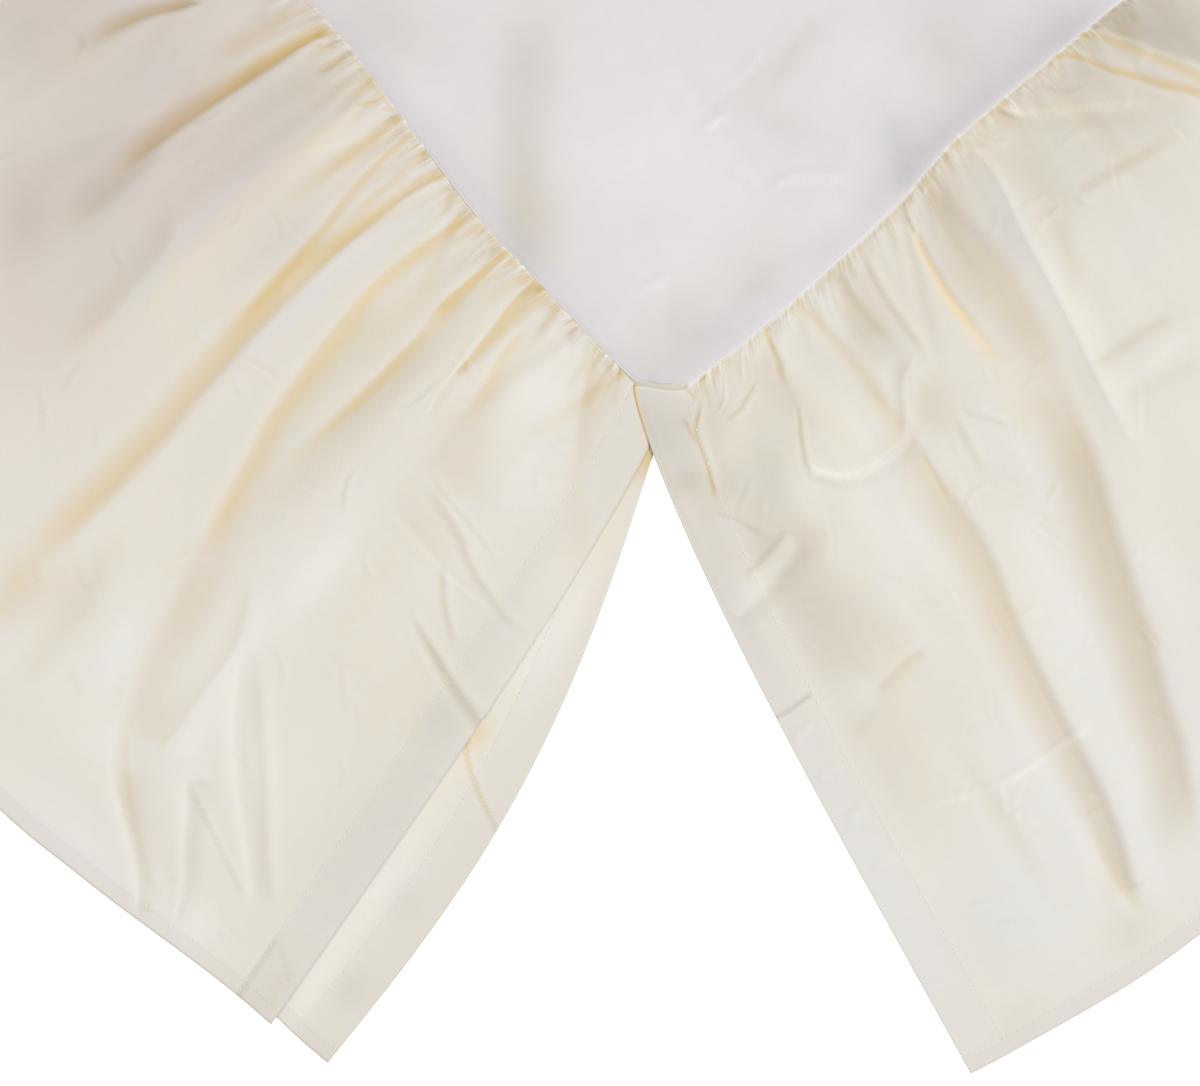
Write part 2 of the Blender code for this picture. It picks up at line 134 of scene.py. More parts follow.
SIDE_FOLDS = (
    ((233, 237.5, 239, 240.5, 242.3, 244, 246, 247.5, 248.5), (-1, 8, 18, 32, 48, 62, 80, 100, 126),
     5, 10, 0.8, 2.0, 0.9, 1.6, 2.1, 0.11, 0.05, 0.3),
    ((196, 199.5, 203), (2, 8, 14), -1.3, -1.3, 0.6, 0.6, 0.4, 0.4, 1.0, 0.05, 0.2, 0.2),
    ((227, 231, 236), (1, 6, 10.5), 1.2, 1.2, 0.6, 0.6, 0.4, 0.4, 0.6, 0.06, 0.2, 0.2),
    ((221, 221.8, 222.5), (1, 8, 17), 1.2, 1.6, 0.7, 0.7, 0.3, 0.4, 0.6, 0.05, 0.1, 0.4),
    ((241, 242, 242, 242, 241), (82, 100, 118, 136, 160), 12, 15, 3.0, 5.0, 0.2, 0.8, 0.35, 0.11, 0.35, 0.4),
    ((250, 252.5, 255, 258), (2, 18, 32, 54), 6, 7, 3.0, 3.0, 0.2, 0.4, 0.65, 0.035, 0.2, 0.4),
    ((257, 262, 268, 274, 279, 282), (84, 96, 108, 122, 136, 152),
     -12, -14, 0.9, 1.5, 0.1, 0.2, 0.0, 0.03, 0.2, 0.2),
    ((287, 290.5, 295.5, 300, 303.5), (42, 49, 60, 76, 100), 4, 9, 0.9, 3.0, 0.5, 1.6, 1.35, 0.13, 0.0, 0.6),
    (*SIDE_RIDGE, 12, 14, 1.0, 2.4, 0.5, 0.5, -0.2, 0.035, 0.1, 0.3),
    (*SIDE_RIDGE, -9, -9, 1.0, 2.4, 0.0, 0.0, 0.18, -0.015, 0.1, 0.3),
    ((228, 214, 207, 203, 199), (106, 115, 138, 166, 200),
     9, 12, 3.0, 4.0, 0.2, 1.1, 0.25, 0.065, 0.25, 0.35),
    ((182, 183, 183.5, 184, 183), (2, 14, 28, 46, 76), 3.2, 8, 1.0, 3.0, 0.4, 0.7, 0.9, 0.04, 0.0, 0.65),
    ((186.5, 191.5, 197, 202.5), (14, 28, 39, 48), -1.5, -1.5, 0.8, 1.0, 0.4, 0.2, 0.0, -0.04, 0.2, 0.3),
    ((175.5, 175.8, 174.5, 172.5, 169.5, 167.5, 165.5, 163.5, 160), (3, 15, 30, 46, 60, 76, 95, 115, 145),
     -1.8, -7, 0.7, 2.5, 0.4, 0.8, 1.0, 0.02, 0.0, 0.35),
    ((164.5, 165, 165, 164), (3, 15, 34, 60), -2.6, -5, 0.8, 1.5, 0.3, 0.4, 0.6, 0.02, 0.0, 0.4),
    ((148.5, 151.5, 153, 154.2, 154.5, 154.5, 154, 152.5), (3, 12, 20, 32, 45, 60, 80, 102),
     2.2, 9, 0.7, 1.6, 0.6, 1.4, 1.15, 0.02, 0.0, 0.3),
    ((154, 152.5, 151.5, 148.5, 146, 142.5, 140.5, 138.5, 137.5, 137, 135),
     (76, 100, 118, 140, 160, 180, 200, 224, 245, 265, 290),
     9, 14, 1.4, 4.0, 0.5, 1.5, 1.05, 0.03, 0.15, 0.3),
    ((129.5, 130.8, 131.3, 132.3, 133.3, 132.8, 130.5), (3, 14, 26, 40, 56, 70, 84),
     -3.6, -7, 0.7, 1.6, 0.5, 1.0, 0.95, -0.02, 0.15, 0.2),
    ((133, 130, 127.5, 123.5, 120, 115, 109.5, 103.5, 97, 90),
     (66, 84, 100, 118, 134, 149, 163, 180, 196, 212), -9, -9, 1.6, 3.4, 0.4, 1.3, 0.9, 0.015, 0.12, 0.2),
    ((103, 97, 90, 80, 73, 62, 52, 42, 25, 10, -8), (176, 196, 216, 240, 258, 275, 292, 303, 313, 321, 331),
     -20, -16, 4.0, 2.0, 0.3, 1.3, 0.22, 0.05, 0.3, 0.3),
    ((103.5, 105, 105.3, 105.3, 105, 104), (2, 10, 22, 36, 48, 58),
     -1.6, -8, 0.6, 1.2, 0.5, 1.1, 1.35, 0.02, 0.0, 0.3),
    ((105, 102.5, 101, 100, 99, 98.3, 98), (44, 55, 64, 78, 92, 118, 160),
     -6, -4.5, 1.0, 3.0, 0.4, 0.8, 0.95, 0.015, 0.2, 0.5),
    ((99, 100.5, 100), (3, 14, 32), -1.2, -2, 0.6, 0.8, 0.3, 0.4, 0.5, 0.05, 0.0, 0.5),
    ((112, 113, 111), (4, 14, 34), 1.2, 1.8, 0.7, 1.0, 0.2, 0.3, 0.35, 0.04, 0.0, 0.5),
    ((137, 138, 136), (4, 14, 30), -1.2, -2.2, 0.7, 1.0, 0.3, 0.3, 0.2, 0.05, 0.0, 0.5),
    ((85.5, 85, 83.6, 81.5, 79.5, 77.5, 76), (1, 12, 22, 32, 42, 52, 63),
     -12, -1.2, 0.8, 0.6, 0.6, 1.1, 1.15, 0.06, 0.0, 0.1),
    ((77.5, 76, 74, 71, 67.5), (52, 62, 71, 80, 90), -2.5, -2, 0.8, 0.8, 0.5, 0.5, 0.2, 0.06, 0.2, 0.3),
    ((72.5, 71.5, 69.5, 66, 62.5, 60, 57.5), (20, 29, 38, 49, 58, 68, 80),
     -4, -7, 0.8, 1.6, 0.5, 0.8, 0.7, 0.0, 0.2, 0.6),
    ((66, 62.5, 60, 57.5, 56, 57), (50, 60, 71, 84, 96, 108),
     -10, -24, 1.4, 2.5, 0.3, 0.6, 0.14, 0.03, 0.2, 0.3),
    ((40, 35.5, 30, 20, 10, 3), (3, 13, 22, 34, 42, 50), -16, -9, 0.8, 0.8, 0.4, 0.4, 0.16, 0.03, 0.1, 0.2),
    ((-38, -26, -14, 2.5, 19, 37, 52), (115.5, 117.5, 116.6, 114.3, 108, 105.2, 102.5),
     -2.4, -5, 0.8, 0.9, 0.4, 0.6, 0.15, 0.065, 0.15, 0.3),
    ((-8, 6, 20, 38, 56), (104, 102.5, 101.5, 101, 97), -1.6, -1.6, 0.9, 0.9, 0.3, 0.3, 0.1, 0.05, 0.3, 0.3),
    ((-18, -2, 13, 34, 54), (119, 123, 125, 125, 124), 2.2, 4.5, 0.9, 1.2, 0.4, 0.4, 0.1, 0.04, 0.2, 0.3),
    ((-20, -8, 2, 13), (144.5, 138.5, 132, 123), -2.2, -3.0, 0.9, 0.9, 0.5, 0.5, 0.35, 0.045, 0.2, 0.2),
    ((-52, -36, -16, 0, 13), (158, 156.5, 153.5, 150.5, 145),
     -5.0, -1.6, 0.9, 0.8, 0.6, 1.1, 0.3, 0.135, 0.0, 0.5),
    ((-50, -34, -18, -2, 10), (164, 163.5, 161.5, 157, 152),
     -1.6, -1.4, 0.9, 0.9, 0.6, 0.0, 0.0, -0.03, 0.0, 0.5),
    ((43, 20, 4, -12, -40, -61), (214, 231, 243, 255.5, 279, 294),
     5, 4, 1.0, 1.0, 0.5, 0.3, 0.0, 0.045, 0.25, 0.2),
    ((49, 34, 19, 5, -16, -36, -50), (216, 233, 248, 259, 273, 286, 297),
     -10, -5, 0.9, 0.9, 0.9, 1.1, 0.15, 0.055, 0.25, 0.1),
    ((68, 54, 47, 43, 38, 34), (194, 212, 226, 245, 264, 286),
     6, 10, 1.4, 1.4, 0.5, 0.6, 0.2, 0.035, 0.2, 0.1),
    ((17, 4, -9, -21, -32), (279.5, 291, 304, 315, 331), -9, -2, 0.9, 0.9, 0.7, 1.0, 0.15, 0.08, 0.05, 0.1),
    ((17, 0, -20, -48), (279.5, 284, 289.5, 297), 1.8, 1.8, 0.8, 0.8, 0.4, 0.3, 0.1, 0.06, 0.1, 0.3),
    ((44, 24, 6, -8, -18), (302, 313, 322, 331, 341), -9, -5, 0.7, 0.7, 0.7, 0.8, 0.25, 0.07, 0.2, 0.1),
    ((60, 44, 24, 4, -24), (282, 293, 307, 318, 329), 2.5, 2.5, 1.2, 1.2, 0.3, 0.2, 0.1, 0.03, 0.3, 0.2),
    ((122, 113, 106, 100, 96), (225, 245, 262, 285, 318), 9, 12, 5.0, 5.0, 0.3, 0.9, 0.1, 0.035, 0.3, 0.2),
    ((133, 130, 126), (262, 285, 320), 16, 16, 6.0, 6.0, 0.3, 1.0, 0.45, 0.02, 0.3, 0.1),
    ((17, 9, 2, -7, -14), (1, 5.5, 10, 14.5, 18), 0.9, 1.2, 0.5, 0.5, 0.0, 0.0, 1.1, -0.1, 0.0, 0.0),
    ((-66, -69, -72, -75), (298, 309, 321, 332), -2.4, -3, 0.8, 0.8, 0.3, 0.3, 0.25, 0.12, 0.05, 0.0),
    ((-89, -78, -68), (309, 303, 299.5), 1.6, 1.6, 0.9, 0.9, 0.3, 0.3, 0.1, 0.08, 0.2, 0.1),
)
FOOT_FOLDS = (
    ((20, 14, 8, 4.5, 1, -3, -8), (7, 12.5, 17, 24, 33, 41, 50),
     -1.4, -2.0, 0.6, 0.6, 0.5, 0.7, 1.0, 0.09, 0.2, 0.15),
    ((6.5, 5, 2.5), (9, 16, 24), -1.3, -1.3, 0.6, 0.6, 0.3, 0.4, 0.6, 0.08, 0.1, 0.3),
    ((22, 25, 28), (1.6, 2.2, 1.6), 1.2, 1.2, 0.5, 0.5, 0.0, 0.2, 1.0, 0.08, 0.2, 0.2),
    ((17.5, 17, 16), (-1, 3, 8), -1.6, -1.2, 0.7, 0.7, 0.2, 0.3, 1.1, 0.05, 0.0, 0.3),
    ((36, 32, 26, 19, 12), (3, 11, 17, 19.5, 18), 1.5, 1.5, 0.6, 0.6, 1.1, 0.4, 0.1, 0.05, 0.2, 0.3),
    ((48, 44, 40, 36), (3, 9, 14, 17), 1.5, 1.5, 0.6, 0.6, 0.9, 0.3, 0.1, 0.05, 0.2, 0.3),
    ((54.5, 54.5, 52.5, 50, 48), (8, 20, 31, 40, 46), -9, -6, 0.8, 1.2, 0.5, 0.2, -0.05, 0.035, 0.2, 0.2),
    ((19, 27, 35, 46), (24, 24.8, 22.5, 18.5), 1.4, 1.1, 0.6, 0.6, 0.8, 0.5, 0.6, 0.07, 0.2, 0.4),
    ((34, 38, 43), (1, 2.5, 1), 1.2, 1.2, 0.6, 0.6, 0.6, 0.3, 0.2, 0.05, 0.2, 0.2),
    ((2, 14, 28), (38, 36.5, 37), -2.0, -2.0, 0.9, 0.9, 0.4, 0.2, 0.1, 0.035, 0.3, 0.3),
    ((65.5, 62.5, 60.6, 59.3, 57.5, 55, 52.5), (0, 5, 9, 14, 19.5, 24.5, 34),
     -1.0, -4.0, 0.6, 1.2, 0.5, 0.7, 0.85, 0.0, 0.0, 0.4),
    ((50, 46, 42, 37, 33), (41, 47, 52, 60, 67), -1.2, -2.2, 0.6, 0.9, 0.4, 0.5, 0.4, 0.055, 0.1, 0.15),
    ((34, 38, 45, 55, 66, 75, 82), (66, 73, 80, 84, 85.5, 84, 77),
     2.2, 1.7, 0.7, 0.7, 1.3, 0.0, -0.25, -0.10, 0.03, 0.2),
    ((33, 37, 44, 55, 66, 76, 83), (68, 76, 83.5, 88, 89.5, 88, 81),
     -2.4, -2.4, 0.7, 0.7, 0.0, 0.6, 0.0, 0.04, 0.1, 0.2),
    ((80, 86, 91, 97, 106), (81, 74.5, 67.5, 62.5, 60), 3.5, 7, 0.8, 0.8, 0.5, 0.6, 0.15, 0.07, 0.1, 0.2),
    ((81, 86, 91, 97, 106), (79, 72.5, 66, 61.5, 59.3),
     -3.5, -2.0, 0.8, 0.8, 0.0, 0.0, -0.15, -0.075, 0.1, 0.1),
    ((83.5, 84, 85, 84, 82.5), (2, 20, 42, 60, 78), -3, -7, 0.8, 2.4, 0.3, 0.4, 0.36, 0.0, 0.0, 0.2),
    ((83, 82, 81, 79.5, 77, 73), (34, 52, 72, 92, 114, 134),
     -3.5, -11, 1.0, 2.5, 0.3, 0.4, 0.3, 0.02, 0.3, 0.35),
    ((81, 78.5, 76, 74, 69.5, 62, 56, 49, 43, 38, 31, 22, 14),
     (96, 110, 122, 140, 158, 178, 198, 224, 250, 270, 290, 308, 327),
     -15, -11, 3.0, 2.5, 0.4, 1.5, 0.5, 0.075, 0.16, 0.1),
    ((80, 78.3, 76, 73.5), (92, 102, 113, 123), -1.6, -1.6, 0.7, 0.9, 0.2, 0.3, 0.4, 0.0, 0.2, 0.3),
    ((76, 84, 94), (127, 124.5, 126), 1.6, 1.6, 0.8, 0.8, 0.5, 0.3, 0.0, 0.02, 0.2, 0.3),
    ((86, 90, 96), (4, 26, 56), 7, 8, 3.0, 3.0, 0.2, 0.4, -0.1, 0.01, 0.0, 0.4),
    ((106, 104, 103, 102), (2, 20, 40, 58), -4, -4, 1.5, 2.0, 0.2, 0.6, 0.25, 0.05, 0.0, 0.5),
    ((119.5, 116.5, 114, 112.5, 111.5, 108.5), (8, 20, 31, 44, 56, 66),
     -3.0, -3.0, 0.9, 1.2, 0.5, 0.4, 0.15, 0.05, 0.1, 0.3),
    ((150, 146.5, 144.5), (2, 11, 17), -1.5, -1.5, 0.9, 0.9, 0.3, 0.4, 0.8, 0.05, 0.0, 0.2),
    ((146, 144, 141.8, 140.3, 138.3, 137.2, 136.5, 136, 134), (14, 21, 28, 36, 45, 56, 68, 80, 98),
     -2.2, -6.5, 0.6, 1.4, 0.3, 0.9, 1.0, -0.17, 0.05, 0.5),
    ((152, 149.2, 147.2, 145.8), (1, 6, 11.5, 17), 1.1, 1.1, 0.6, 0.6, 0.5, 0.3, 0.4, -0.02, 0.1, 0.1),
    ((166, 166.5, 167, 167, 164, 160, 156, 150, 143), (3, 16, 30, 50, 66, 82, 97, 110, 121),
     -12, -13, 4.0, 4.0, 0.4, 1.3, 0.22, 0.06, 0.05, 0.35),
    ((157, 152, 146, 142, 137, 130, 123, 116, 110, 103, 95, 87.5, 81.5, 73, 64, 54),
     (94, 110, 124, 138, 152, 167, 183, 199, 213, 230, 246, 262, 277, 291, 306, 322),
     -19, -16, 4.0, 4.0, 0.4, 1.3, 0.56, 0.12, 0.25, 0.15),
    ((24, 20, 16, 13.5, 12.5), (266, 282, 298, 312, 328), 10, 5, 2.0, 0.8, 0.6, 0.9, 0.2, 0.06, 0.5, 0.3),
    (*FOOT_RIDGE, -11, -8, 0.6, 0.8, 0.6, 0.25, -0.15, 0.065, 0.03, 0.3),
    (*FOOT_RIDGE, 4, 6, 0.6, 0.8, 0.0, 0.0, -0.15, -0.045, 0.03, 0.3),
    ((189, 195, 203), (-3, 4, 9), -2.0, -2.0, 0.9, 0.9, 0.5, 0.3, 0.1, 0.04, 0.0, 0.3),
    ((202, 196, 189, 178), (50, 62, 78, 94), -7, -7, 4.0, 4.0, 0.2, 0.5, 0.12, 0.03, 0.3, 0.4),
    ((213, 217, 222, 229, 237, 244, 251, 259, 267), (-4, 4.5, 10.5, 15, 20, 25.5, 31, 37, 43),
     2.0, 2.4, 0.7, 0.9, 1.1, 0.0, 0.12, -0.10, 0.05, 0.2),
    ((212, 216, 221, 228, 236, 243, 250, 258, 266), (-4, 5, 11.5, 16.5, 21.5, 27, 32.5, 38.5, 44),
     -6, -8, 1.0, 1.5, 0.0, 0.5, 0.1, 0.04, 0.05, 0.3),
    ((232, 237, 243, 253), (1, 9, 14.5, 18), 1.6, 1.6, 0.9, 0.9, 0.3, 0.4, 0.2, 0.05, 0.1, 0.3),
    ((243.5, 250, 254, 257, 260, 264, 268.5, 273, 283, 300), (-5, -1, 3, 8, 15, 22, 29, 37, 52, 80),
     1.8, 5, 0.8, 1.8, 0.4, 0.9, 1.15, 0.03, 0.0, 0.35),
    ((265, 270, 276, 282, 286.5, 292, 308), (-5, 1, 11, 22, 31, 43, 78),
     -2.6, -6.5, 0.8, 1.2, 0.6, 0.7, 0.85, -0.02, 0.0, 0.35),
    ((266, 272, 278.5, 284, 289, 296, 330), (-6, 1, 11, 22, 32, 44, 124),
     26, 20, 1.4, 3.0, 0.3, 0.8, 0.2, 0.15, 0.0, 0.55),
    ((273, 278, 284), (24, 22.5, 24), 2.0, 2.0, 0.8, 0.8, 0.9, 0.2, -0.2, -0.03, 0.2, 0.2),
    ((208, 222, 236, 252, 267), (52, 54.5, 57.5, 61, 62), 4, 4, 2.0, 2.0, 0.3, 0.5, 0.3, 0.05, 0.2, 0.3),
    ((106, 110, 114.5, 119), (92, 98, 105.5, 113), -2.0, -2.0, 0.9, 0.9, 0.6, 0.3, 0.1, 0.05, 0.1, 0.3),
    ((101.5, 99.5, 97, 94.5), (93, 102, 111, 123), -3.0, -3.0, 1.4, 1.4, 0.2, 0.4, 0.1, 0.06, 0.2, 0.3),
    ((-38, -24, -12, 0, 13, 30, 46, 56), (218, 223, 229, 234.5, 238.5, 240.5, 242.5, 243.5),
     -1.6, -1.6, 0.6, 0.6, 1.4, 0.2, 0.0, -0.05, 0.2, 0.1),
    ((102, 103, 102.5), (218, 228, 238), 1.4, 1.4, 0.7, 0.7, 0.4, 0.3, 0.5, 0.04, 0.2, 0.3),
    ((-16, -4, 8, 19), (163.5, 162.5, 162.3, 163.5), -6, -3, 0.9, 0.9, 0.3, 0.6, 0.3, 0.055, 0.3, 0.1),
    ((-40, -22, -6, 9), (97, 96.5, 93, 88), -5, -8, 1.0, 1.0, 0.7, 0.4, 0.1, 0.065, 0.1, 0.1),
    ((-24, -10, 8), (85.5, 84.5, 81.5), 2.4, 2.4, 0.9, 0.9, 0.6, 0.3, 0.25, 0.07, 0.3, 0.1),
    ((-56, -46, -33), (144, 146.2, 147), 2.0, 2.0, 0.8, 0.8, 0.3, 0.5, 0.25, 0.16, 0.0, 0.1),
    ((-57, -50, -42), (157, 155.5, 156), 2.4, 2.4, 1.1, 1.1, 0.7, 0.3, 0.0, 0.012, 0.2, 0.3),
    ((-59, -51, -44), (177, 178, 182), 2.4, 2.4, 1.1, 1.1, 0.7, 0.3, 0.0, 0.015, 0.2, 0.3),
    ((-63, -56, -48), (202.5, 201, 202.5), 3.0, 2.4, 1.1, 1.1, 0.7, 0.4, 0.0, 0.02, 0.2, 0.3),
    ((-67, -60, -53), (224, 226, 230), 2.4, 2.4, 1.2, 1.2, 0.5, 0.3, 0.0, 0.012, 0.3, 0.3),
    ((-11, -6, -3, 1), (52, 61, 71, 81), -1.8, -1.8, 0.9, 0.9, 0.2, 0.3, 0.4, 0.04, 0.1, 0.3),
    ((-7, 3, 13), (60.5, 56, 51), 1.6, 1.6, 0.9, 0.9, 0.4, 0.2, 0.0, 0.03, 0.2, 0.3),
    ((21, 26, 30), (44, 49, 53), -1.4, -1.4, 0.9, 0.9, 0.3, 0.2, 0.1, 0.04, 0.2, 0.3),
    ((25, 30, 35), (123, 128, 134), -1.4, -1.4, 0.9, 0.9, 0.3, 0.2, 0.0, 0.03, 0.3, 0.3),
    ((2, 0.5, -2.5, -7, -12), (200, 228, 250, 272, 296), -7, -6, 3.5, 3.5, 0.2, 0.4, 0.15, 0.03, 0.35, 0.4),
    ((95, 98, 101), (152, 164, 180), 2, 2, 1.0, 1.0, 0.4, 0.2, 0.1, 0.03, 0.2, 0.4),
    ((106, 112, 118), (151, 149.5, 146), 1.6, 1.6, 0.9, 0.9, 0.5, 0.2, 0.1, 0.04, 0.2, 0.3),
    ((101, 107, 114), (155, 160, 163.5), -1.6, -1.6, 0.9, 0.9, 0.5, 0.2, 0.1, 0.04, 0.2, 0.3),
    ((186, 194, 203), (38, 41, 42), 1.6, 1.6, 0.8, 0.8, 0.6, 0.3, 0.1, 0.03, 0.3, 0.3),
    ((190, 198, 204), (48, 51, 51), 1.6, 1.6, 0.8, 0.8, 0.6, 0.3, 0.1, 0.04, 0.3, 0.3),
    ((205, 211, 213), (46, 52, 60), -1.6, -1.6, 0.8, 0.8, 0.6, 0.3, 0.1, 0.03, 0.3, 0.3),
    ((220, 228, 238), (26, 30, 31), 1.6, 1.6, 0.8, 0.8, 0.5, 0.3, 0.1, 0.03, 0.3, 0.3),
    ((196, 200, 207), (0, 8, 13), 1.6, 1.6, 0.8, 0.8, 0.6, 0.3, 0.1, 0.04, 0.1, 0.3),
    ((209, 213, 216), (-4, 0, 7), -1.6, -1.6, 0.8, 0.8, 0.6, 0.3, 0.2, 0.04, 0.1, 0.3),
    ((163, 185, 210), (120, 122, 127), 5, 5, 3.0, 3.0, 0.2, 0.4, 0.2, 0.05, 0.2, 0.2),
    ((160, 182, 204), (140, 145, 151), 5, 5, 3.0, 3.0, 0.2, 0.3, 0.1, 0.03, 0.2, 0.2),
)
UNDERLAY_FOLDS = (
    ((-54, -62, -76, -99), (167, 173.5, 180, 186.5), 1.8, 1.6, 0.9, 0.9, 0.3, 0.3, 0.9, 0.06, 0.0, 0.0),
)
DECK_FOLDS = (
    ((-2, 14, 36, 58, 84), (88, 108, 130, 150, 178), -14, -18, 7.0, 7.0, 0.3, 0.9, 0.25, 0.04, 0.0, 0.2),
    (*DECK_RIDGES[0], 2.4, 2.4, 1.2, 1.2, 0.7, 0.2, 0.0, -0.03, 0.3, 0.3),
    (*DECK_RIDGES[0], -4, -4, 1.0, 1.0, 0.0, 0.2, 0.1, 0.03, 0.3, 0.3),
    (*DECK_RIDGES[1], 2.6, 2.6, 1.0, 1.0, 1.6, 0.3, 0.0, -0.06, 0.2, 0.3),
    (*DECK_RIDGES[1], -5, -5, 1.0, 1.0, 0.0, 0.3, 0.1, 0.03, 0.2, 0.3),
    (*DECK_RIDGES[2], 2.4, 2.4, 1.0, 1.0, 1.4, 0.4, 0.0, -0.06, 0.2, 0.3),
    (*DECK_RIDGES[2], -4, -4, 1.0, 1.0, 0.0, 0.4, 0.1, 0.04, 0.2, 0.3),
    ((106, 116, 132, 152), (93.5, 92, 91, 93), 3.0, 4.0, 1.2, 1.2, 0.6, 0.5, 0.1, 0.04, 0.2, 0.3),
    ((106, 107, 109, 112), (8, 60, 110, 150), 5, 6, 5.0, 5.0, 0.2, 0.3, 0.0, 0.015, 0.3, 0.3),
    ((150, 156, 163, 172), (0, 14, 26, 44), 10, 12, 4.0, 4.0, 0.1, 0.5, -0.3, 0.06, 0.1, 0.5),
    ((132, 150, 180), (79, 87, 95), 7, 9, 4.0, 4.0, 0.1, 0.3, 0.15, 0.03, 0.3, 0.2),
)

# Soft blotches of painted shade and light, with warm and rosy tints, each in the order in which Cloth.blotch
# takes it: middle, half widths, turn in degrees from "along" towards "out", and the strengths of warm, shade
# and, where it has any, rosy, which is green below 0.
SIDE_BLOTCHES = (
    (252, 80, 5, 24, 3, 0.4, 0.04, 0.2),
    (222, 22, 13, 14, 0, 0.14, 0.04),
    (232, 44, 9, 26, 0, 0.12, 0.04),
    (212, 60, 8, 28, 0, 0.06, 0.02),
    (270, 92, 20, 34, 0, -0.12, -0.025, -0.25),
    (163, 76, 4, 26, 0, 0.4, 0.02),
    (145, 58, 7, 24, 0, 0.0, 0.02),
    (115, 60, 9, 40, 0, 0.10, 0.0),
    (24, 90, 20, 9, 0, 0.15, 0.01),
    (124, 274, 13, 22, 0, 0.25, 0.02),
    (53, 166, 11, 44, 15, -0.1, -0.035),
    (130, 18, 4, 10, 0, -0.35, -0.03),
    (252, 104, 7, 20, 0, -0.1, -0.05),
    (246, 40, 3, 12, 4, 0.3, 0.02),
    (241, 176, 14, 18, 0, -0.18, -0.04),
    (-38, 321, 14, 14, 0, -0.12, -0.045),
    (3, 247, 20, 7, -35, 0.0, -0.04),
    (239, 81, 4, 12, 4, 0.1, 0.045),
    (255, 80, 5, 12, 5, 0.25, 0.0),
    (28, 115, 20, 8, 0, 0.16, 0.04),
    (-18, 150, 16, 40, 12, 0.16, 0.01),
    (46, 162, 10, 24, 8, -0.2, -0.02),
    (45, 288, 18, 12, 30, -0.2, -0.02),
    (248, 125, 9, 34, 0, 0.10, 0.02, -0.3),
    (256, 28, 8, 26, 0, 0.35, 0.04, 0.2),
    (224, 44, 16, 38, 0, 0.05, 0.10, 0.1),
    (222, 100, 20, 40, 0, -0.10, 0.055, 0.5),
    (325, 60, 85, 90, 0, 0.0, 0.16, 0.45),
    (262, 110, 24, 56, 0, -0.10, 0.09, 0.5),
    (262, 164, 30, 14, -38, 0.15, 0.09, 0.1),
    (50, 160, 20, 34, 0, 0.0, -0.02),
    (60, 340, 120, 16, 8, 0.0, -0.03),
    (-36, 95, 14, 50, 14, 0.0, -0.03),
    (206, 60, 6, 60, 0, -0.10, 0.0, 0.15),
    (240, 200, 60, 40, 0, 0.0, 0.0, 0.4),
    (147, 80, 5, 56, 0, -0.35, 0.035, 0.12),
    (175, 84, 6, 26, 0, -0.25, 0.03, 0.2),
    (91, 80, 8, 70, 0, 0.20, 0.045, -0.1),
    (222, 160, 26, 50, 8, -0.05, 0.08),
    (255, 190, 40, 50, 0, 0.0, 0.05),
    (182, 66, 17, 50, 0, 0.12, 0.06),
    (144, 140, 8, 42, 4, -0.15, 0.01, 0.2),
    (114, 70, 9, 66, 0, 0.22, 0.055, -0.15),
    (90, 74, 6, 46, 0, 0.0, 0.05),
    (67, 150, 10, 56, 3, -0.14, 0.0, 0.2),
    (30, 150, 70, 60, 0, -0.06, -0.012),
    (60, 280, 110, 70, 0, -0.16, -0.035),
    (20, 220, 60, 40, 0, -0.10, -0.02),
    (87, 150, 12, 52, 3, 0.15, 0.04),
    (36, 84, 20, 16, -30, 0.16, 0.02),
    (17, 78, 16, 30, -10, -0.20, 0.0),
    (36, 146, 24, 26, 0, 0.12, 0.01),
    (-20, 138, 20, 24, 0, -0.12, 0.03),
    (-6, 200, 34, 34, 10, 0.15, 0.02),
    (52, 206, 10, 30, 18, -0.18, -0.01, 0.2),
    (30, 262, 10, 40, 40, -0.15, -0.02, 0.15),
    (76, 226, 14, 26, 22, 0.25, 0.02),
    (52, 276, 16, 20, 30, 0.10, 0.02),
    (10, 330, 60, 16, 10, -0.15, 0.0, 0.1),
    (-20, 120, 16, 60, 10, -0.05, 0.0),
    (84, 262, 8, 26, 24, -0.20, -0.02),
    (116, 262, 16, 26, 10, 0.12, 0.03),
    (30, 336, 40, 14, 8, -0.15, 0.01),
    (-40, 172, 9, 11, 0, -0.05, 0.06),
    (330, 110, 20, 24, 0, 0.05, 0.05),
    (140, 28, 28, 26, 0, 0.0, 0.03),
    (4, 58, 14, 12, 0, 0.0, -0.02),
    (40, 34, 16, 12, 0, -0.12, -0.02),
    (57, 11, 12, 10, 0, -0.12, -0.02),
    (-24, 84, 8, 20, 14, 0.0, -0.03),
    (-62, 226, 10, 60, 14, -0.05, 0.05),
    (-84, 314, 9, 12, 0, 0.15, 0.05),
    (-46, 240, 12, 50, 14, 0.0, 0.04),
    (24, 18, 12, 14, 0, 0.06, 0.03),
    (54, 24, 8, 18, 0, -0.12, 0.0),
    (45, 34, 14, 26, 0, -0.10, -0.02),
)
